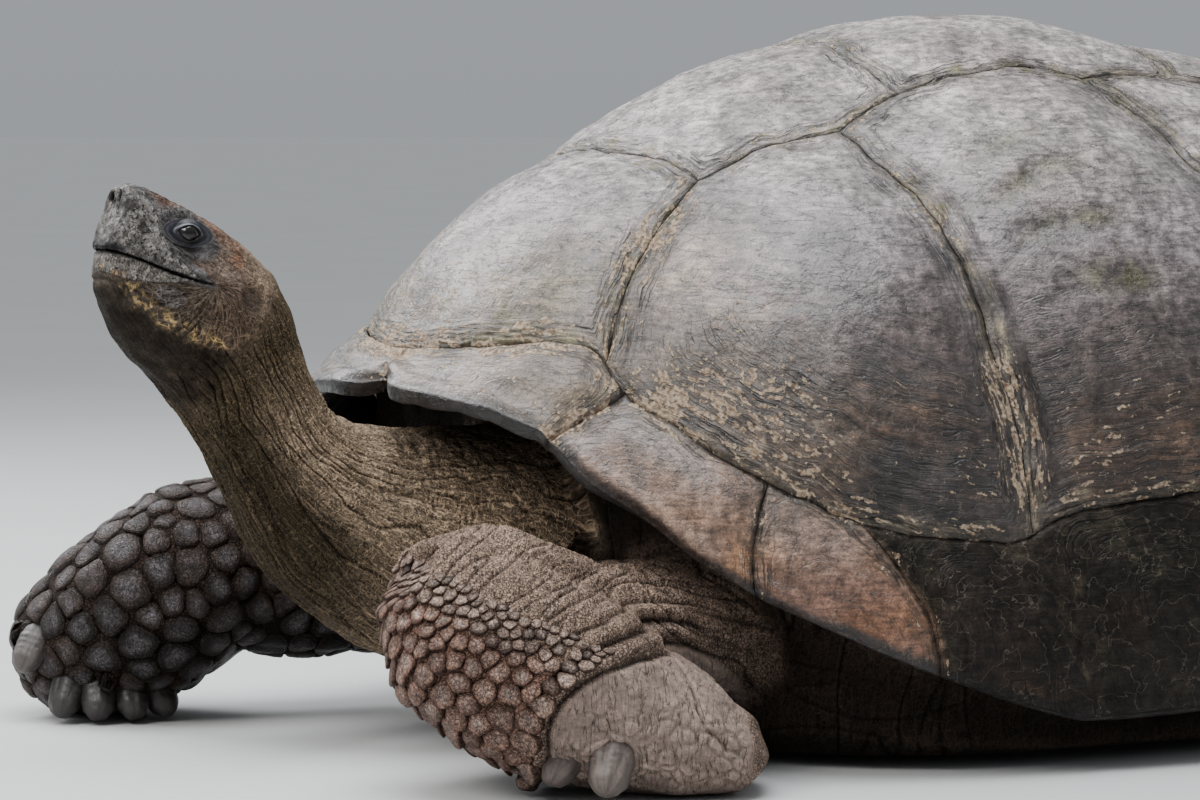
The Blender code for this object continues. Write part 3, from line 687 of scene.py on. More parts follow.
def skin_tint(points, x, y, z, neck, left, right, along, turn, out):
    """The skin's markings by part of the body, with painted shade where the shell covers it, under the
    neck, on the upper neck and low on the right foreleg, and painted light on the left of the neck's
    base.
    """
    throat = ease((np.abs(turn) - 1.5) / 0.7) * neck * ease((0.36 - along) / 0.08)
    lit = ease((along - 0.34) / 0.05) * ease((0.25 - z) / 0.05) * ease((x - 0.02) / 0.04)
    base = painted(
        plain((84, 71, 61), len(points)),
        ((136, 119, 101), neck),
        # painted shade under the neck
        ((38, 33, 22), throat * 0.9),
        # painted shade on the upper neck, next to the head
        ((76, 66, 51), neck * ease((0.24 - along) / 0.08) * 0.9),
        ((184, 161, 137), neck * lit * 0.85),
        ((138, 118, 105), left * 0.85),
        ((54, 43, 37), right),
        # painted shade low on the right foreleg
        ((26, 21, 18), right * ease((0.15 - z) / 0.09) * ease((x + 0.27) / 0.08)),
        ((128, 113, 104), left * ease((1.1 - out) / 0.2)),
        ((112, 82, 70), left * scaly_left(points) * 0.8),
    )
    base *= (1 + 0.16 * fractal(points * 9, 3, 81))[:, None]
    # painted shadow of the shell: the skin it covers is darkened, less on the left foreleg and the neck
    shell_shadow = ease((1.16 - (x / 0.425) ** 2 - (y / 0.545) ** 2) / 0.30)
    base = base * (1 - 0.84 * shell_shadow * (1 - 0.6 * left) * (1 - 0.45 * neck))[:, None]
    return head_tint(points, base)


def shaped_flesh():
    """The flesh as one smooth closed mesh, its front and the head cut finer, before its folds."""
    mesh = joined_flesh()
    trimmed(mesh)
    points, edges = points_of(mesh), edges_of(mesh)
    x, y, z = points.T
    join = np.maximum(nearness(points, "trunk", 0.03) * (y > -0.56) * (y < -0.25) * (z > 0.05), 0.25)
    join = np.maximum(join, (x > 0.25) * (y > -0.60) * (y < -0.35) * (z < 0.2) * 0.8)
    points = smoothed(points, edges, 14)
    points = smoothed(points, edges, 30, strength=join * ease((z - 0.012) / 0.03))
    put_points(mesh, points)
    points = drawn_back(points, edges, normals_of(mesh))
    put_points(mesh, points)
    fine = (y < -0.27) & (z > 0.004) & (np.abs(x) < 0.45)
    fine |= (x > 0.16) & (y < -0.05) & (z > 0.03)
    refine(mesh, fine)
    points = points_of(mesh)
    refine(mesh, (points[:, 1] < -0.575) & (points[:, 2] > 0.20))
    return mesh


def build_skin():
    """The whole flesh as one closed surface with its folds, and its markings, with painted light and
    shade, on its points.
    """
    mesh = shaped_flesh()
    points, edges = points_of(mesh), edges_of(mesh)
    x, y, z = points.T
    points = smoothed(points, edges, 6, strength=ease((z - 0.003) / 0.004))
    put_points(mesh, points)
    normals = normals_of(mesh)
    a, b, lateral = head_places(points)
    head = ease((a + 0.098) / 0.02) * (y < -0.60) * (z > 0.25)
    front = y < -0.20
    neck = np.zeros(len(points))
    left, right = neck.copy(), neck.copy()
    neck[front] = nearness(points[front], "neck", 0.03)
    neck = np.maximum(neck, ease((0.52 - z) / 0.1) * (y < -0.60) * (z > 0.19) * (lateral < 0.08))
    left[front] = nearness(points[front], "foreleg_left", 0.025)
    right[front] = nearness(points[front], "foreleg_right", 0.025)
    neck *= 1 - left
    neck *= 1 - right
    body = np.clip(1 - neck - left - right, 0, 1)
    high = head_relief(points) * head
    relief, along, turn, reach = neck_relief(points, neck * (1 - 0.85 * head * (b > -0.06)))
    high += relief
    high += left_leg_relief(points, left)
    high += right_leg_relief(points, right)
    high += body_relief(points, body * front)
    hind = ease((y - 0.2) / 0.1)
    high += hind * (0.0018 * fractal(points * 35, 2, 71) - 0.0020 * creases(points * 22, 0.2, 72))
    high -= SKIN_DEPTH
    high *= ease((z - 0.004) / 0.010)
    upper, lower = horn_shares(a, b)
    horn = np.maximum(upper, lower) * ease((a + 0.04) / 0.01) * (y < -0.66)
    surface = points + normals * high[:, None]
    put_points(mesh, surface)
    normals = normals_of(mesh)
    fine_hollow = hollows(surface, normals, edges, 2)
    wide_hollow = hollows(surface, normals, edges, 12)

    out = foot_places(points)[0]
    foot = left * ease((1.04 - out) / 0.06)
    base = skin_tint(points, x, y, z, neck, left, right, along, turn, out)
    # painted shade in the creases, and painted highlights on the ridges between them
    dark = ease(fine_hollow / 0.00035) * (0.60 - 0.40 * foot - 0.15 * neck)
    dark = np.maximum(dark, ease(wide_hollow / 0.0022) * 0.78)
    pale = ease(-fine_hollow / 0.0005) * 0.45 + ease(-wide_hollow / 0.003) * 0.30
    base = base * (1 - dark)[:, None] * (1 + 0.7 * pale)[:, None]
    lined = neck * (1 - head) + 0.55 * body + 0.35 * left * (out > 1.3) + 0.3 * head * (b < -0.05)
    lined = np.clip(lined, 0, 1)
    grain = np.clip(0.35 + 0.6 * left + 0.6 * right, 0, 1) * (1 - 0.6 * head)
    flow = packed(along, turn * 0.075, reach)
    off_neck = neck < 0.5
    side = 0.5 * x + 0.866 * y
    flow[off_neck] = packed(z, side, x)[off_neck]
    lined *= ease(np.abs(neck - 0.5) / 0.25)
    back, down = MOUTH_CORNER[0] - a, b - MOUTH_CORNER[1]
    reach, turn = np.hypot(back, down), np.arctan2(down, back)
    swirl = head * ease((0.060 - reach) / 0.012) * ease((0.75 - turn) / 0.3) * (lateral > 0.012)
    flow[swirl > 0.5] = packed(reach, turn * 0.030 + reach * 0.15, x)[swirl > 0.5]
    lined = lined * ease(np.abs(swirl - 0.5) / 0.3) + 0.45 * ease((swirl - 0.5) / 0.3)
    grain *= 1 - 0.75 * foot
    specks = ease((a + 0.02) / 0.03) * head * (b > -0.06)
    put_values(mesh, tint=base, flow=flow, lined=np.clip(lined, 0, 1), grain=grain, specks=specks,
               calm=0.62 * foot)
    sunk = surface - normals * (horn * HORN_SINK)[:, None]
    sunk[:, 2] = np.maximum(sunk[:, 2], 0.0002)
    put_points(mesh, sunk)
    return mesh, surface, normals, upper * (y < -0.66), lower * (y < -0.66)


# ---- Materials ----------------------------------------------------------------------------------
VECTORS = ("tint", "flow", "ring")  # the values on the meshes that have three numbers a point


def node(tree, kind, feeds=None, **settings):
    """One shader node; each feed is a value for an input, or a socket to link to it."""
    made = tree.nodes.new("ShaderNode" + kind)
    for name, value in settings.items():
        setattr(made, name, value)
    for name, value in (feeds or {}).items():
        if isinstance(value, bpy.types.NodeSocket):
            tree.links.new(value, made.inputs[name])
        else:
            made.inputs[name].default_value = value
    return made


class Look:
    """A material, with calls that each add shader nodes to it and give back their result."""

    def __init__(self, name, roughness, specular, **fixed):
        self.made = bpy.data.materials.new(name)
        self.made.use_nodes = True
        self.tree = self.made.node_tree
        self.shader = self.tree.nodes["Principled BSDF"]
        self.shader.inputs["Roughness"].default_value = roughness
        self.shader.inputs["Specular IOR Level"].default_value = specular
        for socket, value in fixed.items():
            self.shader.inputs[socket.replace("_", " ")].default_value = value
        self.place = self.node("TexCoord").outputs["Object"]

    def node(self, kind, feeds=None, **settings):
        return node(self.tree, kind, feeds, **settings)

    def read(self, *names):
        """The values that put_values stored on the mesh's points."""
        return [self.node("Attribute", attribute_name=name).outputs[
            "Vector" if name in VECTORS else "Fac"] for name in names]

    def maths(self, operation, *values, clamp=False):
        feeds = dict(enumerate(values))
        return self.node("Math", feeds, operation=operation, use_clamp=clamp).outputs[0]

    def times(self, first, *others):
        for other in others:
            first = self.maths("MULTIPLY", first, other)
        return first

    def plus(self, total, *terms):
        """Adds a share of each value to the total."""
        for value, share in terms:
            total = self.maths("MULTIPLY_ADD", value, share, total)
        return total

    def inverse(self, value):
        return self.maths("SUBTRACT", 1.0, value)

    def ramp(self, value, low, high, start=0.0, end=1.0):
        """Goes from start to end as the value goes from low to high."""
        feeds = {"Value": value, "From Min": low, "From Max": high, "To Min": start, "To Max": end}
        return self.node("MapRange", feeds, interpolation_type="SMOOTHSTEP").outputs["Result"]

    def between(self, noise, start=0.0, end=1.0):
        """Goes from start to end over the range that most of a noise lies in."""
        return self.ramp(noise, 0.3, 0.7, start, end)

    def mixed(self, share, first, second):
        return self.node("Mix", {0: share, 6: first, 7: second}, data_type="RGBA").outputs[2]

    def stretched(self, vector, scale):
        return self.node("VectorMath", {0: vector, 1: scale}, operation="MULTIPLY").outputs[0]

    def scaled(self, vector, amount):
        return self.node("VectorMath", {0: vector, "Scale": amount}, operation="SCALE").outputs[0]

    def wandering(self, vector, scale, detail, amount):
        """The vector with a noise added to it, by an amount for each direction."""
        feeds = {"Vector": self.place, "Scale": scale, "Detail": detail}
        shift = self.stretched(self.node("TexNoise", feeds).outputs["Color"], amount)
        return self.node("VectorMath", {0: vector, 1: shift}, operation="ADD").outputs[0]

    def noise(self, scale, detail):
        return self.drawn_out(self.place, None, detail, scale)

    def drawn_out(self, vector, stretch, detail, scale=1.0):
        """A noise of its own size in each direction."""
        vector = self.stretched(vector, stretch) if stretch else vector
        feeds = {"Vector": vector, "Scale": scale, "Detail": detail}
        return self.node("TexNoise", feeds).outputs["Fac"]

    def off_middle(self, noise):
        return self.maths("ABSOLUTE", self.maths("SUBTRACT", noise, 0.5))

    def hairlines(self, noise, width):
        """Thin wandering lines, where a noise passes through its middle value."""
        return self.ramp(self.off_middle(noise), width * 0.3, width, 1.0, 0.0)

    def cells(self, vector, scale, **settings):
        """How far a place is from the middle, or from the edge, of one of many uneven cells."""
        feeds = {"Vector": vector, "Scale": scale}
        return self.node("TexVoronoi", feeds, **settings).outputs["Distance"]

    def edges(self, vector, scale):
        return self.cells(vector, scale, feature="DISTANCE_TO_EDGE")

    def finish(self, colour, height, distance, strength, roughness):
        raised = self.node("Bump", {"Height": height, "Distance": distance, "Strength": strength})
        for source, name in ((colour, "Base Color"), (raised.outputs["Normal"], "Normal"),
                             (roughness, "Roughness")):
            self.tree.links.new(source, self.shader.inputs[name])
        return self.made


def skin_look():
    look = Look("tortoise_skin", 0.62, 0.06)
    tint, flow, lined, grain, specked, calm = look.read("tint", "flow", "lined", "grain", "specks",
                                                        "calm")
    specked = look.times(specked, look.ramp(look.noise(480.0, 2.0), 0.57, 0.63))
    bent = look.wandering(flow, 30.0, 2.0, (0.012, 0.012, 0.0))
    # a net of fine pale wrinkles, longer along the flow than across it
    net = look.edges(look.stretched(bent, (170.0, 250.0, 20.0)), 1.0)
    fibres = look.ramp(look.drawn_out(bent, (40.0, 700.0, 20.0), 2.0), 0.52, 0.72)
    lines = look.maths("MAXIMUM", look.ramp(net, 0.0, 0.11, 1.0, 0.0), look.times(fibres, 0.7))
    lines = look.times(lines, lined)
    gashes = look.hairlines(look.drawn_out(bent, (24.0, 230.0, 40.0), 3.0), 0.016)
    # rounded grains, and cracks between them
    pebble = look.ramp(look.edges(look.place, 340.0), 0.0, 0.22)
    crack = look.times(look.inverse(pebble), grain)
    specks, blotch, coarse = look.noise(900.0, 2.0), look.noise(55.0, 4.0), look.noise(300.0, 4.0)
    shade = look.times(
        look.ramp(blotch, 0.25, 0.75, 0.70, 1.30),
        look.inverse(look.times(crack, 0.70)),
        look.ramp(specks, 0.25, 0.75, 0.62, 1.38),
        look.between(coarse, 0.66, 1.34),
    )
    shade = look.plus(1.0, (look.maths("SUBTRACT", shade, 1.0), look.inverse(calm)))
    for value, share in ((lined, -0.34), (gashes, -0.55), (specked, -0.75)):
        shade = look.times(shade, look.plus(1.0, (value, share)))
    pale = look.stretched(tint, (2.75, 2.65, 2.45))
    colour = look.mixed(look.times(lines, 0.75), look.scaled(tint, shade), pale)
    height = look.plus(look.times(pebble, grain, 0.60), (lines, 0.55), (specks, 0.25), (coarse, 0.45),
                       (gashes, -0.35))
    return look.finish(colour, height, 0.0015, 0.95, look.between(coarse, 0.50, 0.78))


def shell_look(name, specular):
    look = Look(name, 0.36, specular)
    tint, ring, flaky, ringed = look.read("tint", "ring", "flaky", "ringed")
    bent = look.wandering(ring, 22.0, 5.0, (0.018, 0.0, 0.0))
    # growth lines that follow the plate's outline, coarse and fine
    coarse = look.drawn_out(bent, (300.0, 9.0, 9.0), 2.0)
    thin = look.drawn_out(bent, (820.0, 20.0, 20.0), 2.0)
    lines = look.plus(coarse, (thin, 0.8))
    groove = look.times(look.ramp(lines, 0.80, 0.94, 1.0, 0.0),
                        look.ramp(look.noise(34.0, 3.0), 0.36, 0.62, 0.15, 1.0))
    torn = look.wandering(bent, 70.0, 4.0, (0.0035, 0.0, 0.0))
    deep = look.off_middle(look.drawn_out(torn, (105.0, 6.0, 6.0), 2.0))
    broken = look.ramp(look.noise(16.0, 3.0), 0.42, 0.58)
    deep = look.times(look.ramp(deep, 0.004, 0.020, 1.0, 0.0), broken)
    groove = look.times(look.maths("MAXIMUM", groove, deep), ringed)
    deep = look.times(deep, ringed)
    # worn flakes, longer along the lines than across them, clustered in patches
    grit = look.noise(320.0, 4.0)
    flakes = look.plus(look.drawn_out(bent, (230.0, 56.0, 56.0), 5.0), (grit, 0.30),
                       (look.noise(13.0, 2.0), 0.35))
    level = look.plus(1.16, (flaky, -0.24))
    flake = look.maths("MULTIPLY", look.maths("SUBTRACT", flakes, level), 11.0, clamp=True)
    chip = look.ramp(flake, 0.05, 0.5)
    rind = look.times(look.ramp(flake, 0.0, 0.25), look.ramp(flake, 0.25, 0.7, 1.0, 0.0))
    # mottling, scratches and pits
    cloud, speckle, fine = look.noise(24.0, 7.0), look.noise(120.0, 5.0), look.noise(650.0, 3.0)
    scratch = look.drawn_out(look.place, (55.0, 55.0, 420.0), 4.0)
    slant = look.drawn_out(look.place, (420.0, 60.0, 90.0), 3.0)
    hairs = look.hairlines(look.drawn_out(look.place, (26.0, 26.0, 130.0), 4.0), 0.010)
    nicks = look.hairlines(look.drawn_out(look.place, (95.0, 40.0, 50.0), 3.0), 0.008)
    pit = look.ramp(look.cells(look.place, 95.0), 0.05, 0.12)
    shade = look.times(
        look.ramp(cloud, 0.30, 0.70, 0.64, 1.30),
        look.between(scratch, 0.70, 1.26),
        look.ramp(speckle, 0.32, 0.68, 0.62, 1.36),
        look.between(fine, 0.72, 1.28),
        look.ramp(slant, 0.58, 0.68, 1.0, 0.60),
        look.plus(1.0, (hairs, -0.45)),
        look.plus(1.0, (nicks, 0.70)),
        look.plus(0.55, (pit, 0.45)),
        look.plus(1.10, (groove, -0.55)),
        look.plus(1.0, (deep, -0.60)),
    )
    colour = look.scaled(tint, shade)
    colour = look.mixed(look.times(nicks, 0.30), colour, (0.16, 0.13, 0.10, 1))
    colour = look.mixed(look.times(rind, 0.6), colour, (0.020, 0.015, 0.012, 1))
    pale = look.mixed(look.between(grit), (0.13, 0.075, 0.040, 1), (0.44, 0.34, 0.24, 1))
    colour = look.mixed(look.times(chip, 0.80), colour, pale)
    height = look.plus(look.times(chip, 0.5), (groove, -0.7), (deep, -0.9), (grit, 0.40),
                       (speckle, 0.50), (cloud, 0.90), (slant, 0.20), (fine, 0.22), (hairs, -0.25),
                       (pit, 0.12))
    rough = look.plus(look.between(speckle, 0.24, 0.46), (chip, 0.35), (ringed, 0.16))
    return look.finish(colour, height, 0.0015, 0.85, rough)


def horn_look(name, roughness, streaks):
    look = Look(name, roughness, 0.10)
    tint, flow = look.read("tint", "flow")
    grain = look.drawn_out(flow, streaks, 3.0)
    grit, lumps = look.noise(700.0, 3.0), look.noise(190.0, 5.0)
    pit = look.ramp(look.cells(look.place, 330.0), 0.10, 0.22)
    splits = look.hairlines(look.drawn_out(look.place, (150.0, 210.0, 120.0), 3.0), 0.022)
    shade = look.times(
        look.between(grain, 0.62, 1.36),
        look.between(grit, 0.62, 1.40),
        look.plus(0.45, (pit, 0.55)),
        look.ramp(lumps, 0.32, 0.68, 0.58, 1.42),
        look.ramp(look.noise(430.0, 2.0), 0.58, 0.64, 1.0, 0.18),
        look.plus(1.0, (splits, -0.60)),
    )
    height = look.plus(look.times(pit, 0.45), (grain, 0.6), (grit, 0.35), (lumps, 0.80),
                       (splits, -0.45))
    return look.finish(look.scaled(tint, shade), height, 0.0012, 0.95,
                       look.between(grit, roughness - 0.06, roughness + 0.12))


def eye_look():
    look = Look("tortoise_eye", 0.10, 0.3, Coat_Weight=0.4, Coat_Roughness=0.03)
    tint, = look.read("tint")
    threads = look.noise(900.0, 3.0)
    return look.finish(look.scaled(tint, look.between(threads, 0.7, 1.35)), threads, 0.00004, 0.4,
                       look.between(threads, 0.05, 0.14))


def lid_look():
    look = Look("tortoise_lids", 0.42, 0.32)
    tint, flow = look.read("tint", "flow")
    creased, grit = look.drawn_out(flow, (180.0, 520.0, 1.0), 3.0), look.noise(1100.0, 2.0)
    shade = look.times(look.between(creased, 0.72, 1.22), look.between(grit, 0.88, 1.1))
    height = look.plus(look.times(grit, 0.25), (creased, 0.8))
    return look.finish(look.scaled(tint, shade), height, 0.0005, 0.9, look.between(creased, 0.36, 0.55))


def claw_look():
    look = Look("claw_horn", 0.46, 0.5)
    tint, flow = look.read("tint", "flow")
    streaks, grit = look.drawn_out(flow, (260.0, 260.0, 40.0), 3.0), look.noise(500.0, 3.0)
    shade = look.times(look.between(streaks, 0.68, 1.3), look.between(grit, 0.84, 1.14))
    height = look.plus(look.times(grit, 0.3), (streaks, 0.7))
    return look.finish(look.scaled(tint, shade), height, 0.0008, 0.9, look.between(grit, 0.38, 0.6))


def scale_look(name, roughness, specular):
    look = Look(name, roughness, specular)
    tint, rim = look.read("tint", "rim")
    grit, blotch, fine = look.noise(420.0, 4.0), look.noise(120.0, 3.0), look.noise(900.0, 2.0)
    waves = look.maths("SINE", look.times(look.plus(rim, (blotch, 0.25)), 42.0))
    ring = look.times(waves, look.between(rim, 0.15, 1.0))
    cracks = look.ramp(look.edges(look.place, 260.0), 0.0, 0.10)
    worn = look.hairlines(look.noise(170.0, 4.0), 0.024)
    shade = look.times(
        look.between(blotch, 0.66, 1.34),
        look.between(grit, 0.58, 1.42),
        look.between(fine, 0.72, 1.28),
        look.plus(0.66, (cracks, 0.34)),
        look.plus(1.0, (worn, -0.45)),
        look.plus(1.0, (ring, 0.07)),
    )
    height = look.plus(look.times(ring, 0.12), (grit, 0.9), (cracks, 0.45), (worn, -0.40))
    return look.finish(look.scaled(tint, shade), height, 0.0013, 0.95,
                       look.between(grit, roughness - 0.08, roughness + 0.12))


def plastron_look():
    look = Look("plastron_horn", 0.55, 0.4)
    lines = look.drawn_out(look.place, (40.0, 160.0, 40.0), 3.0)
    plates = look.ramp(look.edges(look.place, 5.0), 0.0, 0.02)
    grit = look.noise(220.0, 3.0)
    blotch = look.between(look.noise(9.0, 5.0))
    colour = look.mixed(blotch, (0.045, 0.033, 0.025, 1), (0.13, 0.10, 0.07, 1))
    shade = look.times(look.between(lines, 0.75, 1.2), look.plus(0.4, (plates, 0.6)))
    return look.finish(look.scaled(colour, shade), look.plus(plates, (lines, 0.4), (grit, 0.2)), 0.002,
                       0.8, look.between(grit, 0.45, 0.65))


# ---- The shell ----------------------------------------------------------------------------------
SHELL_FRONT, SHELL_REAR, SHELL_HALF_WIDTH = 0.530, 0.560, 0.425
SHELL_TOP, SHELL_WALL, NUCHAL_REACH = 0.588, 0.018, 0.022
RIM_ANGLES = (0, 10, 20, 26, 31, 36, 43, 50, 65, 80, 95, 110, 130, 155, 180)
RIM_HEIGHTS = (0.302, 0.296, 0.287, 0.270, 0.232, 0.208, 0.170, 0.140, 0.088, 0.042, 0.048, 0.085,
               0.120, 0.125, 0.110)
MARGINAL_ENDS = (0, 31.5, 49, 59.5, 76, 90, 101, 112, 124, 138, 153, 169)
MARGINAL_RIM_ENDS = (0, 27, 49, 67, 82, 94, 103, 112, 124, 138, 153, 169)
MARGINAL_BOWS = (0, -1.3, -0.6, 2.4, 1.0, 0, 0, 0, 0, 0, 0, 0)  # degrees, midway down
SEAM_ANGLES = (0, 28.5, 31.5, 39, 49, 60, 75, 79, 90, 110, 150, 180)
SEAM_DEPTHS = (0.830, 0.730, 0.762, 0.766, 0.788, 0.820, 0.824, 0.790, 0.795, 0.820, 0.840, 0.850)

# The seams inside the marginals' ring on the left side, on a disc with the shell's top at its
# centre and the rim at its edge: (to the left, to the rear). A number is a place on the ring.
SEAMS = {
    "v1c1": ((0.209, -0.402), (0.246, -0.498), (0.290, -0.570), 28.5),
    "v2c1": ((0.209, -0.402), (0.214, -0.318), (0.230, -0.270), (0.250, -0.225)),
    "v2c2": ((0.250, -0.225), (0.229, -0.170), (0.222, -0.136)),
    "v3c2": ((0.222, -0.136), (0.217, -0.062), (0.221, -0.002), (0.242, 0.030)),
    "v3c3": ((0.242, 0.030), (0.226, 0.080), (0.224, 0.130)),
    "v4c3": ((0.224, 0.130), (0.224, 0.200), (0.232, 0.245), (0.252, 0.285)),
    "v4c4": ((0.252, 0.285), (0.224, 0.340), (0.212, 0.400)),
    "v5c4": ((0.212, 0.400), (0.222, 0.500), (0.255, 0.640), 160),
    "c1c2": ((0.250, -0.225), (0.330, -0.210), (0.397, -0.191), (0.501, -0.178), (0.603, -0.180),
             (0.700, -0.183), 76),
    "c2c3": ((0.242, 0.030), (0.326, 0.050), (0.425, 0.074), (0.620, 0.130), 104.5),
    "c3c4": ((0.252, 0.285), (0.350, 0.330), (0.500, 0.425), 131),
}
VERTEBRAL_CORNERS = (-0.402, -0.136, 0.130, 0.400)
VERTEBRAL_MIDDLES = (-0.420, -0.150, 0.144, 0.418)
SWELL = {"vertebral_1": 0.022, "vertebral_2": 0.011, "vertebral_3": 0.014, "vertebral_4": 0.014,
         "vertebral_5": 0.018, "costal": 0.022}
RUN_STEP = 0.0055
DOME_COLOUR_LEVELS = (0.30, 0.355, 0.41, 0.52)  # metres above the ground
# The dome's colours at those levels: the horn's own, darker low down, with painted light from above
# making the top paler.
DOME_COLOURS_AND_TOP_LIGHT = ((46, 39, 36), (70, 61, 59), (112, 104, 105), (137, 129, 126))
DISC_DENTS = ((0.253, -0.108, 0.488), (0.355, -0.080, 0.372))  # the ends of a dented patch


def curve_through(x, places, values):
    """Catmull-Rom with its slopes held in, as the frame's own shell has it."""
    x = np.clip(x, places[0], places[-1])
    k = np.clip(np.searchsorted(places, x) - 1, 0, len(places) - 2)
    places, values = np.array(places, float), np.array(values, float)
    part = (x - places[k]) / (places[k + 1] - places[k])
    left, right = values[np.maximum(k - 1, 0)], values[np.minimum(k + 2, len(values) - 1)]
    a, b = values[k], values[k + 1]
    return a + (b - a) * part + 0.5 * part * (1 - part) * (
        (1 - part) * (2 * a - left - b) * 0.5 + part * (2 * b - a - right) * 0.5
    )


def dome_points(angle, depth):
    """Points of the shell's surface: angle in degrees from the front, depth 0 at the top to 1."""
    s, c = np.sin(np.radians(angle)), np.cos(np.radians(angle))
    front, rear = np.maximum(c, 0) ** 1.5, np.maximum(-c, 0) ** 1.5
    side = 1 - front - rear
    spread = front + side * 0.92 + rear * 0.85
    fall = front * 1.85 + side + rear * 1.05
    away = np.abs(signed(angle))
    along = np.where(c > 0, SHELL_FRONT, SHELL_REAR)
    along = along + NUCHAL_REACH * depth**12 * ease(away / 5) * ease((40 - away) / 22)
    x = SHELL_HALF_WIDTH * np.abs(s) ** 0.88 * np.sign(s)
    y = along * np.abs(c) ** 0.80 * np.where(c > 0, -1, 1)
    z = curve_through(away, RIM_ANGLES, RIM_HEIGHTS)
    out = np.sin(pi / 2 * depth) ** spread
    high = np.maximum(np.cos(pi / 2 * depth), 0) ** fall
    return packed(x * out, y * out, z + (SHELL_TOP - z) * high)


def dome_normals(angle, depth):
    step = 0.012
    here = np.clip(depth, 3 * step, 1 - step)
    along = dome_points(angle, here + step) - dome_points(angle, here - step)
    turn = 1.5 + 6 * ease((0.12 - here) / 0.1)
    around = dome_points(angle + turn, here) - dome_points(angle - turn, here)
    out = np.cross(around, along)
    out /= lengths(out)[:, None]
    inside = ((np.array((0, 0, 0.2)) - dome_points(angle, here)) * out).sum(axis=1) > 0
    out[inside] *= -1
    top = ease((0.10 - depth) / 0.08)[:, None]
    out = out * (1 - top) + np.array((0, 0, 1.0)) * top
    return out / lengths(out)[:, None]


def from_disc(disc):
    return np.degrees(np.arctan2(disc[:, 0], -disc[:, 1])), np.hypot(disc[:, 0], disc[:, 1])


def to_disc(angle, depth):
    return packed(depth * np.sin(np.radians(angle)), -depth * np.cos(np.radians(angle)))


def seam_depth(angle):
    """How far down the dome the marginals' upper seam is, with its bends softened."""
    away = np.abs(signed(np.asarray(angle, float)))
    return sum(np.interp(np.abs(away + k), SEAM_ANGLES, SEAM_DEPTHS) for k in (-2, -1, 0, 1, 2)) / 5


def wobbled(disc):
    """Shifts places on the disc a little, the same for both plates that meet there."""
    at = np.concatenate([disc * 26, np.zeros((len(disc), 1))], axis=1)
    return disc + 0.0032 * packed(noise(at, 91), noise(at, 92))


def even_run(disc):
    """A smooth line through the places given, cut into even steps along the shell."""
    disc = np.asarray(disc, float)
    if len(disc) < 40:
        along = np.arange(len(disc))
        fine = np.linspace(0, len(disc) - 1, 24 * len(disc))
        disc = np.stack([curve_through(fine, along, disc[:, k]) for k in (0, 1)], axis=1)
    real = dome_points(*from_disc(disc))
    along = run_lengths(real)
    even = np.linspace(0, along[-1], max(3, round(along[-1] / RUN_STEP)))
    return wobbled(np.stack([np.interp(even, along, disc[:, k]) for k in (0, 1)], axis=1))


def ring_run(first, last):
    angle = np.linspace(first, last, 240)
    return even_run(to_disc(angle, seam_depth(angle)))


def seam_run(name, back=False):
    places = []
    for place in SEAMS[name]:
        if isinstance(place, tuple):
            places.append(place)
        else:
            places.append(to_disc(np.array([place]), seam_depth([place]))[0])
    run = even_run(places)
    return run[::-1] if back else run


def cross_run(k):
    """The seam across the back between two vertebral plates, from the left to the right."""
    corner, middle = VERTEBRAL_CORNERS[k], VERTEBRAL_MIDDLES[k]
    wide = (0.209, 0.222, 0.224, 0.212)[k]
    return even_run([(wide, corner), (wide * 0.5, (corner + middle * 2) / 3), (0, middle),
                     (-wide * 0.5, (corner + middle * 2) / 3), (-wide, corner)])


def other_side(run):
    return run[::-1] * (-1, 1)


def plate_outlines():
    """Each dome plate's outline, as the runs of seam that follow each other round it."""
    left = {
        "costal_1": (ring_run(28.5, 76), seam_run("c1c2", True), seam_run("v2c1", True),
                     seam_run("v1c1")),
        "costal_2": (ring_run(76, 104.5), seam_run("c2c3", True), seam_run("v3c2", True),
                     seam_run("v2c2", True), seam_run("c1c2")),
        "costal_3": (ring_run(104.5, 131), seam_run("c3c4", True), seam_run("v4c3", True),
                     seam_run("v3c3", True), seam_run("c2c3")),
        "costal_4": (ring_run(131, 160), seam_run("v5c4", True), seam_run("v4c4", True),
                     seam_run("c3c4")),
    }
    outlines = {}
    for name, runs in left.items():
        outlines[name + "_left"] = runs
        outlines[name + "_right"] = [other_side(run) for run in reversed(runs)]
    flanks = ((seam_run("v1c1", True),), (seam_run("v2c1"), seam_run("v2c2")),
              (seam_run("v3c2"), seam_run("v3c3")), (seam_run("v4c3"), seam_run("v4c4")),
              (seam_run("v5c4"),))
    for k, flank in enumerate(flanks):
        far_side = [other_side(run) for run in reversed(flank)]
        if k == 0:
            runs = (ring_run(0, 28.5), *flank, cross_run(0), *far_side, ring_run(-28.5, 0))
        elif k == 4:
            runs = (*flank, ring_run(160, 200), *far_side, cross_run(3)[::-1])
        else:
            runs = (*flank, cross_run(k), *far_side, cross_run(k - 1)[::-1])
        outlines[f"vertebral_{k + 1}"] = runs
    return outlines


# How far the seams between costal plates lie from the growth lines, run by run of each outline.
SIDE_OFFSETS = {"costal_1": (0, 0.30, 0, 0), "costal_2": (0, 0.30, 0, 0, 0.30),
                "costal_3": (0, 0.30, 0, 0, 0.30), "costal_4": (0, 0, 0, 0.30)}


def away_from(points, line):
    """The distance of each point from a line through the places given."""
    nearest = np.full(len(points), 9.0)
    for first, last in zip(line[:-1], line[1:]):
        step = last - first
        part = np.clip(((points - first) @ step) / max(step @ step, 1e-12), 0, 1)
        away = lengths(points - first - part[:, None] * step)
        nearest = np.minimum(nearest, away)
    return nearest


def blended(distances, softness):
    """The smallest of several distances, with the bends between them rounded."""
    total = sum(np.exp(-d / softness) for d in distances)
    return np.maximum(-softness * np.log(total), 0)


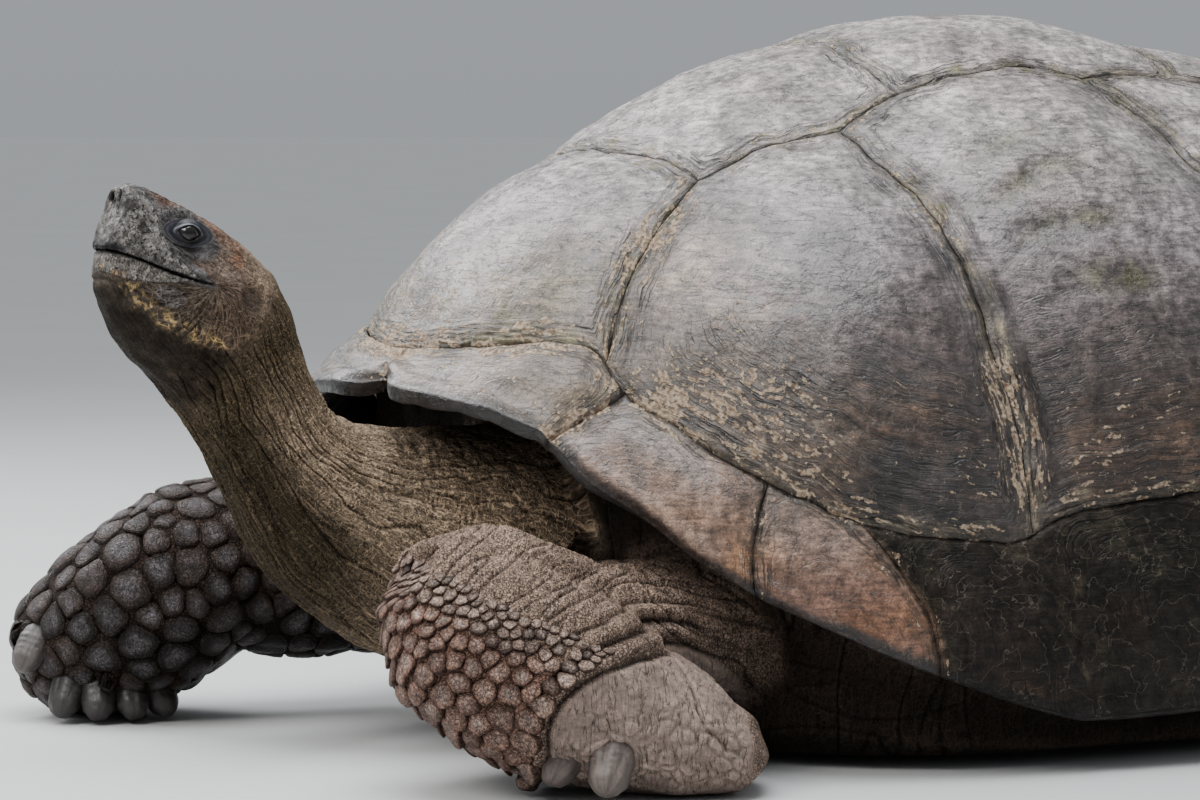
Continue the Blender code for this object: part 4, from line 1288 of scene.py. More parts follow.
def seam_relief(points, gap):
    """A shallow trough along a seam, with a crack in it and broken ridges beside it."""
    uneven = 1 + 0.9 * noise(points * 30, 101)
    wander = gap + 0.0030 * noise(points * 40, 102)
    high = -0.0012 * bell(gap, 0.0095)
    high -= 0.0012 * (1 + 0.8 * noise(points * 25, 100)) * bell(gap, 0.0013)
    for place, width, rise in ((0.0042, 0.0014, 0.0013), (0.0085, 0.0015, 0.0014),
                               (0.0130, 0.0017, 0.0012), (0.0180, 0.0020, 0.0008)):
        high += rise * uneven * bell(wander - place, width)
    return high + 0.0007 * fractal(points * 130, 2, 114) * ease((0.024 - gap) / 0.012)


def plate_relief(points, gap, growth, circle, name):
    """Growth ridges, worn dents and unevenness of a plate of the dome."""
    high = seam_relief(points, gap)
    low = ease((0.36 - points[:, 2]) / 0.10)
    warp = 0.0030 * noise(points * 20, 110)
    bands = packed((growth + warp) * 150, circle[:, 0] * 4, circle[:, 1] * 4)
    high += 0.0011 * low * fractal(bands, 2, 103) * ease((0.20 - growth) / 0.05)
    wide = packed((growth + warp) * 48, circle[:, 0] * 3, circle[:, 1] * 3)
    high += (0.0003 + 0.0010 * low) * noise(wide, 109)
    high += 0.0050 * noise(points * 5.5, 104) + 0.0020 * noise(points * 15, 105)
    high += 0.0010 * noise(points * 36, 115) + 0.0006 * fractal(points * 70, 2, 106)
    if name == "costal_2_left":
        high -= 0.0042 * dents(points)
    return high


def dents(points):
    """Four worn hollows, one over the other, on the side of the second costal plate."""
    first, last = (np.array(p) for p in DISC_DENTS)
    line = last - first
    part = (points - first) @ line / (line @ line) + 0.05 * noise(points * 16, 107)
    depth = np.zeros(len(points))
    for k in range(4):
        middle = -0.105 + 0.016 * k
        wave = 0.05 * np.sin((points[:, 1] - middle) * 26 + k)
        across = bump(points[:, 1] + 0.02 * noise(points * 12, 108), middle, 0.062)
        depth = np.maximum(depth, bump(part + wave, 0.02 + 0.31 * k, 0.13) * across)
    return depth


def seam_tint(points, colour, gap, circle, share):
    """Stripes of horn, dark and cream, that run along beside a seam."""
    fine = fractal(points * 55, 3, 112)
    wander = gap + 0.0030 * noise(points * 40, 102)
    streaks = packed(wander * 330, circle[:, 0] * 12, circle[:, 1] * 12)
    streak = noise(streaks, 116) + 0.5 * fine
    wide = 0.0125 + 0.004 * noise(points * 9, 119)
    crack = 0.0014 + 0.0010 * noise(points * 35, 117)
    edge = ease((wide + 0.012 * fine - gap) / 0.010) * share
    colour = painted(
        colour,
        ((82, 73, 58), edge * 0.70),
        ((142, 128, 104), edge * ease(streak * 1.5 - 0.45) * 0.80),
        ((40, 34, 27), edge * ease(-streak * 1.6 + 0.05) * 0.80),
        ((34, 29, 25), bell(gap, crack) * 0.85),
    )
    return colour, edge


def shell_tint(points, gap, growth, circle, name):
    """The plates' colour: grey above and dark below, the horn's own colour with painted light making
    the top paler, brown by the seams and mossy in the hollows.
    """
    _, y, z = points.T
    cloud = fractal(points * 8, 4, 111)
    fine = fractal(points * 55, 3, 112)
    smear = fractal(points * np.array((20, 20, 46)), 3, 118)
    level = z + 0.030 * cloud
    low = ease((0.360 - level) / 0.07)
    streaks = packed(growth * 130, circle[:, 0] * 5, circle[:, 1] * 5)
    brown = low * ease(cloud * 0.8 + 0.55 * noise(streaks, 113) + 0.15)
    tones = np.array([tone(*colour) for colour in DOME_COLOURS_AND_TOP_LIGHT])
    colour = painted(
        packed(*[np.interp(level, DOME_COLOUR_LEVELS, channel) for channel in tones.T]),
        ((84, 74, 70), ease(cloud * 0.9 + 0.20) * 0.6 * ease((z - 0.33) / 0.05)),
        ((72, 66, 64), ease(smear * 1.3 - 0.15) * 0.55 * ease((z - 0.33) / 0.05)),
        ((84, 63, 48), brown * 0.75),
        ((29, 26, 26), ease((0.195 - z + 0.02 * cloud) / 0.06) * 0.8),
    )
    if name.startswith("costal_1") or name == "vertebral_1":
        front = ease((-0.27 - y) / 0.1) * ease((0.455 - z) / 0.06)
        colour = paint(colour, tone(112, 98, 86), front * (0.4 + 0.6 * ease(cloud + smear)) * 0.85)
    colour, edge = seam_tint(points, colour, gap, circle, 1 - 0.30 * low)
    moss = edge * ease((z - 0.30) / 0.12) * ease(fine * 0.8 + cloud * 0.5)
    if name == "vertebral_1":
        moss = np.maximum(moss, ease((0.425 - z) / 0.04) * ease(cloud + fine * 0.6 + 0.1) * 0.8)
    if name == "costal_2_left":
        moss = np.maximum(moss, dents(points) * ease(0.75 + fine * 0.7))
    colour = paint(colour, tone(76, 74, 46), moss * 0.75)
    return colour * (1 + 0.16 * fine)[:, None]


def repeated_last(rows, extra):
    """The rows with their last one repeated, for the points of a plate's wall."""
    return np.pad(rows, ((0, extra), (0, 0)), mode="edge")


def radial_plate(name, runs):
    """A plate of the dome, filled from its middle to its outline in rings, with its wall."""
    kind = name if name.startswith("vertebral") else "costal"
    outline = np.concatenate([run[:-1] for run in runs])
    middle = outline.mean(axis=0)
    count, layers = len(outline), 62
    share = np.concatenate([np.linspace(0.03, 0.80, layers - 22), np.linspace(0.81, 1.0, 22)])
    disc = (middle + (outline - middle)[None] * share[:, None, None]).reshape(-1, 2)
    angle, depth = from_disc(disc)
    base, out = dome_points(angle, depth), dome_normals(angle, depth)
    distances = [away_from(base, dome_points(*from_disc(run))) for run in runs]
    gap = np.minimum.reduce(distances)
    offsets = SIDE_OFFSETS.get(name[:8], (0,) * len(runs))
    if name.endswith("right"):
        offsets = offsets[::-1]
    growth = blended([d + offset for d, offset in zip(distances, offsets)], 0.012)
    beside = ease((0.026 - gap) / 0.010)
    growth += (gap - growth) * beside
    depth_in = blended(distances, 0.030)
    rim = base[-count:]
    step = lengths(np.roll(rim, -1, axis=0) - rim)
    along = np.concatenate([[0], np.cumsum(step)[:-1]])
    turn, radius = 2 * pi * along / step.sum(), step.sum() / (2 * pi)
    circle = np.tile(packed(np.cos(turn), np.sin(turn)) * radius, (layers, 1))
    lift = SWELL[kind] * (1 - np.exp(-((depth_in / 0.052) ** 1.5)))
    high = plate_relief(base, gap, growth, circle, name)
    surface = base + out * (lift + high)[:, None]
    pull = surface[-count:].mean(axis=0) - surface[-count:]
    surface[-count:] += pull / lengths(pull)[:, None] * HALF_GAP
    rings = [surface]
    for inward, inner_share in ((0.006, 1.0), (0.013, 0.985), (SHELL_WALL * 0.85, 0.90),
                                (SHELL_WALL * 0.85, 0.45)):
        places = from_disc(middle + (outline - middle) * inner_share)
        rings.append(dome_points(*places) - dome_normals(*places) * inward)
    top = np.append(surface[:count].mean(axis=0), 0)[:3]
    bottom = rings[-1].mean(axis=0)
    points = np.concatenate([*rings, [top], [bottom]])
    rows = layers + 4
    faces = grid_faces(rows, count)
    last = rows * count
    faces += [(last, k, (k + 1) % count) for k in range(count)]
    faces += [(last + 1, (rows - 1) * count + (k + 1) % count, (rows - 1) * count + k)
              for k in range(count)]
    mesh = mesh_from(points, faces)
    turn_outwards(mesh)
    extra = len(points) - len(surface)
    tint = shell_tint(surface, gap, growth, circle, name)
    _, y, z = surface.T
    flaky = ease((0.026 - gap) / 0.018) * (0.75 + 0.5 * noise(surface * 7, 120))
    flaky += 0.75 * ease((0.34 - z) / 0.04) * ease((z - 0.19) / 0.03)
    flaky += 0.85 * ease((-0.28 - y) / 0.08) * ease((0.455 - z) / 0.06)
    ringed = 0.08 + 0.92 * np.maximum(ease((0.37 - z) / 0.07), beside)
    put_values(
        mesh,
        tint=repeated_last(tint, extra),
        ring=repeated_last(np.column_stack([growth, circle]), extra),
        flaky=np.pad(np.clip(flaky, 0, 1.35), (0, extra)),
        ringed=np.pad(ringed, (0, extra)),
    )
    return mesh


def grid_faces(rows, count, closed=True):
    """The faces of a grid of rows of points, round and round or open at its sides."""
    faces = []
    for row in range(rows - 1):
        a, b = row * count, (row + 1) * count
        for k in range(count if closed else count - 1):
            n = (k + 1) % count
            faces.append((a + k, b + k, b + n, a + n))
    return faces


def turn_outwards(mesh):
    shape = bmesh.new()
    shape.from_mesh(mesh)
    bmesh.ops.recalc_face_normals(shape, faces=shape.faces)
    shape.to_mesh(mesh)
    shape.free()


def marginal_place(angle, down):
    """The angle and depth of a place on the marginals' ring, down from 0 at the seam to 1."""
    away = np.abs(signed(angle))
    sign = np.where(signed(angle) < 0, -1, 1)
    rim = np.interp(away, (*MARGINAL_ENDS, 180), (*MARGINAL_RIM_ENDS, 180))
    bow = np.interp(away, (*MARGINAL_ENDS, 180), (*MARGINAL_BOWS, 0))
    turn = sign * (away + (rim - away) * down + bow * np.sin(pi * down))
    top = seam_depth(angle)
    return turn, top + (1 - top) * down


def marginal_relief(points, gap, from_rim, angle, down):
    """A swelling across each plate, and a roll and unevenness along the rim."""
    high = seam_relief(points, gap) * 0.8
    high += 0.006 * np.sin(pi * down) * ease(gap / 0.03)
    high += 0.0016 * noise(points * 16, 132) + 0.0005 * fractal(points * 70, 2, 133)
    high += 0.0016 * bump(from_rim, 0.010, 0.010) - 0.0012 * bump(from_rim, 0.026, 0.014)
    high += 0.0010 * noise(points * 30, 131) * ease((0.03 - from_rim) / 0.02)
    wave = packed(from_rim * 150, angle * 0.12, points[:, 0] * 0)
    high += 0.0006 * noise(wave, 134) * ease((0.05 - from_rim) / 0.03)
    # the first two meet at a notch, the left one standing over the right one
    notch = ease((7 - np.abs(angle)) / 5) * ease((down - 0.15) / 0.4)
    return high + np.where(angle > 0, 0.0030, -0.0040) * notch


def marginal_tint(points, gap, from_rim, angle, circle):
    """The ring's colour: dark, with its first plates slate and its second and third reddish, and darker
    over the rim's edge, partly the horn's own colour and partly painted shade.
    """
    away = np.abs(signed(angle))
    cloud = fractal(points * 14, 4, 121)
    fine = fractal(points * 60, 3, 122)
    patchy = fractal(points * np.array((40, 22, 60)), 3, 123)
    first = ease((31.8 - away) / 0.8)
    red = ease((away - 30.8) / 0.8) * ease((60.2 - away) / 0.8)
    pale = ease((0.040 - gap) / 0.02) * ease((46 - away) / 6)
    orange = ease((away - 44) / 5)
    lip = ease((0.012 - from_rim + 0.004 * cloud) / 0.007)
    colour = painted(
        plain((29, 24, 20), len(points)),
        ((50, 38, 29), ease(cloud * 1.1) * 0.6),
        ((40, 40, 26), ease(-cloud * 1.3 - 0.1) * ease(fine + 0.3) * 0.6),
        ((96, 83, 73), first),
        ((74, 66, 62), first * (angle < 0) * 0.7),
        ((84, 72, 58), first * ease(patchy * 1.4 + 0.15) * 0.8),
        ((112, 90, 77), red),
        ((116, 108, 106), red * pale * 0.6),
        ((142, 98, 60), red * (0.35 + 0.65 * orange) * ease(cloud * 1.1 + 0.15) * 0.8),
        ((94, 64, 51), red * orange * ease((0.19 - points[:, 2]) / 0.05) * 0.7),
        ((66, 56, 53), red * ease(-cloud * 1.2 - 0.05) * 0.75),
    )
    colour = seam_tint(points, colour, gap, circle, 0.60 - 0.45 * ease((away - 58) / 3))[0]
    # the rolled edge of the rim darkened: partly the horn's own colour, partly painted shade
    colour = paint(colour, tone(30, 27, 26), lip * (0.74 * first + 0.90 * (1 - first)))
    return colour * (1 + 0.16 * fine)[:, None]


def marginal_plate(name, first, last):
    """Plates of the marginals' ring, flared at the rim and rolled over its edge."""
    middle = (seam_depth([first])[0] + seam_depth([last])[0]) / 2
    ends = dome_points(np.array([first, (first + last) / 2, last], float), np.full(3, middle))
    width = lengths(np.diff(ends, axis=0)).sum()
    columns = max(24, round(width / 0.0042))
    rows, lip = 34, 9
    down = np.linspace(0, 0.965, rows)
    angle = np.linspace(first, last, columns)
    grid_angle, grid_down = np.tile(angle, rows), np.repeat(down, columns)
    turn, depth = marginal_place(grid_angle, grid_down)
    disc = to_disc(turn, depth)
    disc += (wobbled(disc) - disc) * (1 - grid_down)[:, None]
    base, out = dome_points(*from_disc(disc)), dome_normals(*from_disc(disc))
    seams = [base[:columns]]
    fine_down = np.linspace(0, 1.02, 90)
    for end in MARGINAL_ENDS:
        for sign in (1, -1):
            shifted = first + (sign * end - first) % 360
            if shifted <= last + 0.01 and (end or "left" in name or "right" in name):
                seams.append(dome_points(*marginal_place(np.full(90, sign * end), fine_down)))
    distances = [away_from(base, line) for line in seams]
    gap, growth = np.minimum.reduce(distances), blended(distances, 0.012)
    circle = packed(grid_angle * 0.006, grid_down * 0.08)
    rim_line = dome_points(*marginal_place(angle, np.ones(columns)))
    from_rim = lengths(base - np.tile(rim_line, (rows, 1)))
    high = marginal_relief(base, gap, from_rim, grid_angle, grid_down)
    surface = base + out * high[:, None]
    # over the rim's rounded edge, and back up inside
    edge = surface[-columns:]
    rim_out = dome_normals(*marginal_place(angle, np.full(columns, 0.98)))
    ahead = rim_line - base[-columns:]
    ahead /= lengths(ahead)[:, None]
    thick = SHELL_WALL * 0.34 * (1 + 0.22 * noise(rim_line * 34, 135))
    reach = lengths(rim_line - base[-columns:])
    centre = edge - rim_out * thick[:, None]
    layers = [surface]
    for k in range(1, lip + 1):
        bend = pi * k / lip
        layers.append(centre + rim_out * (thick * cos(bend))[:, None]
                      + ahead * (reach * sin(bend))[:, None])
    for inner in (0.75, 0.4, 0.05):
        place = marginal_place(angle, np.full(columns, inner))
        layers.append(dome_points(*place) - dome_normals(*place) * SHELL_WALL * 0.8)
    points = np.concatenate(layers)
    count = len(points) // columns
    for row in range(count):
        for end, near in ((0, 1), (-1, -2)):
            at = row * columns + end % columns
            inwards = points[row * columns + near % columns] - points[at]
            points[at] += unit(inwards) * HALF_GAP
    faces = grid_faces(count, columns, closed=False)
    last_row = (count - 1) * columns
    faces += [(k + 1, k, last_row + k, last_row + k + 1) for k in range(columns - 1)]
    for side in (0, columns - 1):
        faces.append(tuple(row * columns + side for row in range(count)))
    mesh = mesh_from(points, faces)
    turn_outwards(mesh)
    extra = len(points) - len(surface)
    tint = marginal_tint(surface, gap, from_rim, grid_angle, circle)
    away = np.abs(grid_angle)
    flaky = ease((0.022 - gap) / 0.016) * (0.8 - 0.5 * ease((away - 62) / 4))
    flaky += 0.62 * ease((32 - away) / 1) + 0.15
    ringed = np.maximum(0.15 + 0.40 * ease((away - 60) / 1), 0.8 * ease((0.020 - gap) / 0.010))
    put_values(
        mesh,
        # the lip and the inside wall in one dark colour, partly the horn's own and partly painted shade
        tint=np.concatenate([tint, plain((30, 26, 25), extra)]),
        ring=repeated_last(np.column_stack([growth, circle]), extra),
        flaky=np.pad(flaky, (0, extra)),
        ringed=np.pad(ringed, (0, extra), constant_values=0.4),
    )
    return mesh


def build_shell():
    """The dome's plates, then the marginals' ring and the plate over the tail."""
    look, dark_look = shell_look("tortoise_shell", 0.50), shell_look("tortoise_shell_dark", 0.16)
    for name, runs in plate_outlines().items():
        add_piece("plate_" + name, radial_plate(name, runs), look, name)
    groups = {"1": (0, 1), "2": (1, 2), "3": (2, 3), "4_5": (3, 5), "6_7": (5, 7), "8_9": (7, 9),
              "10_11": (9, 11)}
    for group, (first, last) in groups.items():
        first, last = MARGINAL_ENDS[first], MARGINAL_ENDS[last]
        for side, ends in (("left", (first, last)), ("right", (-last, -first))):
            name = f"marginal_{group}_{side}"
            add_piece("plate_" + name, marginal_plate(name, *ends),
                      look if group in "123" else dark_look, name)
    add_piece("plate_supracaudal", marginal_plate("supracaudal", 169, 191), dark_look, "supracaudal")


# ---- Horn, eyes and lids ------------------------------------------------------------------------
def patch_of(mesh, chosen):
    """The faces of a mesh whose points are all chosen: the points' numbers, and the faces."""
    starts = whole_of(mesh.polygons, "loop_start")
    corners = whole_of(mesh.loops, "vertex_index")
    whole = np.minimum.reduceat(chosen[corners].astype(np.int8), starts) > 0
    ends = np.append(starts[1:], len(corners))
    picked = [corners[a:b] for a, b in zip(starts[whole], ends[whole])]
    used = np.unique(np.concatenate(picked))
    place = np.full(len(mesh.vertices), -1)
    place[used] = np.arange(len(used))
    return used, [tuple(int(k) for k in place[face]) for face in picked]


def tree_of(mesh, points, chosen):
    used, faces = patch_of(mesh, chosen)
    return BVHTree.FromPolygons([Vector(p) for p in points[used]], faces)


def upper_horn_tint(points, a, b, x, over):
    front = ease((0.0085 - over) / 0.004) * ease((a - 0.038) / 0.006)
    tip = ease((a - 0.034) / 0.008) * ease((0.010 - over) / 0.006)
    return painted(
        plain((99, 95, 92), len(points)),
        ((50, 46, 44), ease(fractal(points * 120, 3, 141) * 1.2 + 0.20) * 0.85),
        ((128, 122, 117), ease(fractal(points * 70, 3, 145) - 0.15) * 0.5),
        ((30, 28, 29), front * 0.85),
        # black at the hook of the tip, and painted shade in a thin strip along the mouth
        ((24, 22, 23), np.maximum(tip, ease((0.0016 - over) / 0.0012)) * 0.92),
        ((9, 8, 8), ease((0.0040 - nostril_reach(a, b, x)) / 0.0010)),
    )


def lower_horn_tint(points, a, b, x, over):
    turn = np.arctan2(x, a + 0.020)
    streaks = noise(packed(turn * 22, b * 40, x * 0), 142)
    streaks += 0.6 * noise(packed(turn * 55, b * 60, x * 0), 143)
    front = 0.25 + 0.75 * ease((a - 0.012) / 0.025)
    foot = ease((-0.0470 - b) / 0.005) * ease((a - 0.010) / 0.020)
    patch = ease(noise(points * 105, 144) * 2.4 - 0.2) * ease((-0.0480 - b) / 0.003)
    return painted(
        plain((102, 97, 91), len(points)),
        ((58, 54, 55), ease(streaks * 1.3 - 0.05) * 0.8 * front),
        ((132, 127, 124), ease(-streaks * 1.3 - 0.25) * 0.5 * front),
        ((34, 28, 24), foot * ease(streaks * 2.0 + 0.2) * 0.9),
        ((150, 114, 76), patch * ease((a - 0.020) / 0.012) * 0.8),
        ((34, 28, 24), patch * ease(streaks * 2.6 - 0.6) * 0.9),
        ((104, 98, 96), ease((-0.001 - a) / 0.012) * 0.7),
        # painted shade along the top of the lower beak, under the upper one
        ((30, 27, 27), ease((0.0030 + over) / 0.0022) * 0.9),
    )


def build_horn(name, node_name, mesh, surface, normals, share, tint_of, look):
    """A plate of horn over part of the skin, its colour running into the skin's at its edge."""
    used, faces = patch_of(mesh, share > 0.03)
    a, b, x = head_places(surface[used])
    over = b - mouth_height(a)
    points = surface[used] - normals[used] * ((1 - share[used]) * HORN_SINK)[:, None]
    sheet = mesh_from(points, faces)
    turn = np.arctan2(x, a + 0.020) * 0.05
    skin = tints_of(mesh)[used]
    tint = paint(skin, tint_of(points, a, b, x, over), ease((share[used] - 0.45) / 0.45))
    put_values(sheet, tint=tint, flow=packed(turn, b, x))
    solid = reworked(sheet, "SOLIDIFY", thickness=HORN_THICKNESS, offset=-1)
    add_piece(name, solid, look, node_name)


EYE_PITCH = radians(11)
LID_INNER, LID_OUTER = (0.0094, 0.0061), (0.0215, 0.0112)
LID_TURNS, LID_RINGS = 96, 30
LID_GROUND = 0.036  # how far round the eye the skin is looked up for the lids


def eye_axes(side):
    """Out of the eye, along its opening towards the snout, and across it upwards."""
    out = unit(np.array((side, -0.12, 0.05)))
    ahead = np.array((0, -cos(EYE_PITCH), sin(EYE_PITCH)))
    ahead = unit(ahead - out * (ahead @ out))
    return out, ahead, np.cross(ahead, out) * -side


def build_lids(side, name, tree, look):
    """The eyelids: rings from inside the opening out to the skin, with folds between them."""
    out, ahead, up = eye_axes(side)
    middle = eye_middle(side)
    turn = np.linspace(0, 2 * pi, LID_TURNS, endpoint=False)
    c, s = np.cos(turn), np.sin(turn)
    points, tints, lids = [], [], []
    for ring in range(-2, LID_RINGS):
        rho = max(ring, 0) / (LID_RINGS - 1)
        inner = (LID_INNER[0] * c, LID_INNER[1] * s * (1 - 0.42 * c**2) * np.where(s > 0, 1.08, 0.94))
        outer = (LID_OUTER[0] * c, LID_OUTER[1] * s * (1 - 0.16 * c**2))
        along = inner[0] + (outer[0] - inner[0]) * rho
        across = inner[1] + (outer[1] - inner[1]) * rho
        if ring < 0:
            along, across = along * (1 + 0.06 * ring), across * (1 + 0.06 * ring)
        reach = np.minimum(np.hypot(along, across), EYE_RADIUS * 0.93)
        ball = np.sqrt(EYE_RADIUS**2 - reach**2) + 0.0002
        flat = middle + ahead * along[:, None] + up * across[:, None]
        skin = np.array([hit_height(tree, p, out, h) for p, h in zip(flat, ball)])
        high = ball + (skin - ball) * ease((rho - 0.10) / 0.5)
        fold = noise(packed(c * 2.4, s * 2.4, turn * 0 + rho * 2.2), 151)
        fold += 0.7 * noise(packed(c * 7, s * 7, turn * 0 + rho * 5), 152)
        edge = 0.0013 if ring >= 0 else 0.0012 * ring
        high = high + edge * ease(1 - rho / 0.4) + 0.0008 * float(bump(rho, 0.17, 0.20))
        high -= 0.0012 * float(bump(rho, 0.44, 0.13)) * (0.6 + 0.4 * s)
        high += 0.0011 * float(bump(rho, 0.66, 0.22)) * (0.75 - 0.25 * c)
        high -= 0.0012 * float(bump(rho, 0.88, 0.12))
        high -= 0.0016 * float(ease((rho - 0.90) / 0.10))
        high += 0.0006 * fold * min(rho / 0.15, 1)
        high = np.maximum(high, ball + (0.0006 if ring >= 0 else -0.0030))
        points.append(flat + out * high[:, None])
        # painted highlights: a pale rim along the lower lid's inner edge, and a fainter one on the
        # outer fold
        rim = float(bump(rho, 0.19, 0.11)) * (0.45 - 0.45 * s)
        pale = np.maximum(rim, 0.16 * float(bump(rho, 0.66, 0.19)))
        tints.append(painted(
            plain((32, 32, 36), LID_TURNS),
            # painted shade on the upper lid, near the opening
            ((18, 18, 20), ease((s + 0.2) / 0.6) * float(ease((0.62 - rho) / 0.12))),
            ((124, 128, 138), pale * (0.80 + 0.20 * fold)),
            ((80, 76, 77), np.full(LID_TURNS, float(ease((rho - 0.80) / 0.20)))),
            ((16, 15, 16), np.full(LID_TURNS, float(rho < 0.03) * 0.8)),
        ))
        lids.append(packed(turn * 0.014, np.full(LID_TURNS, rho * 0.012), turn * 0))
    faces = grid_faces(LID_RINGS + 2, LID_TURNS)
    if side > 0:
        faces = [face[::-1] for face in faces]
    mesh = mesh_from(np.concatenate(points), faces)
    put_values(mesh, tint=np.concatenate(tints), flow=np.concatenate(lids))
    add_piece(name, mesh, look)


def hit_height(tree, place, out, otherwise):
    """How high the skin stands over a place of the eye's own plane."""
    found = tree.ray_cast(Vector(place + out * 0.03), Vector(-out), 0.06)
    return otherwise if found[0] is None else 0.03 - found[3]


def build_eyeball(side, name, look):
    """A ball with a bulging cornea, and its iris and pupil marked on it."""
    out, ahead, _ = eye_axes(side)
    shape = bmesh.new()
    bmesh.ops.create_uvsphere(shape, u_segments=64, v_segments=48, radius=EYE_RADIUS)
    mesh = bpy.data.meshes.new(name)
    shape.to_mesh(mesh)
    shape.free()
    ball = points_of(mesh)
    off = np.hypot(ball[:, 0], ball[:, 1]) / EYE_RADIUS
    front = ball[:, 2] > 0
    ball[:, 2] += 0.0009 * ease((0.60 - off) / 0.25) * front
    turn = np.arctan2(ball[:, 1], ball[:, 0])
    streak = noise(packed(turn * 9, off * 2, turn * 0), 161)
    iris = ease((0.62 - off) / 0.06) * front
    tint = painted(
        plain((24, 21, 21), len(ball)),
        ((27, 22, 20), iris * (0.8 + 0.2 * streak)),
        ((7, 7, 8), ease((0.36 - off) / 0.05) * front),
        ((12, 11, 12), bump(off, 0.63, 0.06) * front),
    )
    across = np.cross(out, ahead)
    put_points(mesh, eye_middle(side) + ball[:, :1] * ahead + ball[:, 1:2] * across
               + ball[:, 2:] * out)
    put_values(mesh, tint=tint)
    add_piece(name, mesh, look, "eye_left" if side > 0 else "eye_right")


def build_face(mesh, surface, normals, upper, lower):
    """The beak's two horns, and both eyes with their lids."""
    build_horn("beak_upper_horn", "beak_upper", mesh, surface, normals, upper, upper_horn_tint,
               horn_look("beak_horn_upper", 0.50, (160.0, 120.0, 90.0)))
    build_horn("beak_lower_horn", "beak_lower", mesh, surface, normals, lower, lower_horn_tint,
               horn_look("beak_horn_lower", 0.46, (520.0, 70.0, 30.0)))
    ball, lid = eye_look(), lid_look()
    skin_points = points_of(mesh)
    for name, side in SIDES.items():
        close = lengths(skin_points - eye_middle(side)) < LID_GROUND
        build_eyeball(side, f"eyeball_{name}", ball)
        build_lids(side, f"eyelids_{name}", tree_of(mesh, skin_points, close), lid)


# ---- Scales -------------------------------------------------------------------------------------
MOST_PLACES, MOST_SCALES = 9000, 3000  # on one leg, to pick from and to pick
BLOCK = 4000  # places compared with all seeds at a time
LEG_HEIGHT = 0.3
PROBE_START, PROBE_REACH = 0.014, 0.034  # metres, of the rays that find the skin under a scale
COATS = {
    "foreleg_left": {"high": 0.13, "grey": (134, 117, 108), "edge": (52, 35, 29), "overhang": 1.5,
                     "gap": 0.99},
    "foreleg_right": {"high": 0.11, "grey": (84, 79, 81), "edge": (34, 25, 21), "overhang": 0.2,
                      "gap": 0.93},
    "hind_leg": {"high": 0.12, "grey": (92, 84, 82), "edge": (46, 36, 30), "overhang": 0.2,
                 "gap": 0.96},
}
SCALE_TURNS = 20
SCALE_RINGS = (0.25, 0.50, 0.70, 0.84, 0.93, 0.985, 1.0)
SCALE_RISE = (1.0, 0.97, 0.89, 0.76, 0.56, 0.18, -0.50)  # over the skin, as a share of its height


def spread_out(places, sizes, rng):
    """Numbers of places picked so that no two are closer than their sizes let them be."""
    kept, count = np.empty(MOST_SCALES, int), 0
    for k in rng.permutation(len(places)):
        others = kept[:count]
        room = (sizes[others] + sizes[k]) * 0.41
        if (lengths(places[others] - places[k]) > room).all():
            kept[count] = k
            count += 1
    return kept[:count]


def nearest_seed(places, seeds, sizes):
    """For each place, the seed that is nearest for its size."""
    best = np.empty(len(places), int)
    for first in range(0, len(places), BLOCK):
        block = places[first : first + BLOCK]
        away = np.linalg.norm(block[:, None] - seeds[None], axis=2) / sizes[None]
        best[first : first + BLOCK] = away.argmin(axis=1)
    return best


def settled(places, sizes, chosen):
    """Moves each seed to the middle of its own ground a few times, so that gaps even out."""
    for _ in range(5):
        owner = nearest_seed(places, places[chosen], sizes[chosen])
        for k in range(len(chosen)):
            own = np.flatnonzero(owner == k)
            if len(own):
                middle = places[own].mean(axis=0)
                chosen[k] = own[lengths(places[own] - middle).argmin()]
    return np.unique(chosen)


def scale_outline(k, seeds, normals, sizes, across, up, turns):
    """How far a scale reaches each way before it meets its neighbours."""
    away = seeds - seeds[k]
    length = lengths(away)
    near = (length < 2.4 * sizes[k]) & (length > 0) & (normals @ normals[k] > 0.1)
    reach = np.full(SCALE_TURNS, sizes[k] * 0.74)
    for j in np.flatnonzero(near):
        flat = np.array((away[j] @ across, away[j] @ up))
        flat /= max(np.linalg.norm(flat), 1e-6)
        facing = np.cos(turns) * flat[0] + np.sin(turns) * flat[1]
        half = length[j] * sizes[k] / (sizes[k] + sizes[j])
        reach = np.where(facing > 0.2, np.minimum(reach, half / np.maximum(facing, 0.2)), reach)
    return (np.roll(reach, 1) + 2 * reach + np.roll(reach, -1)) / 4


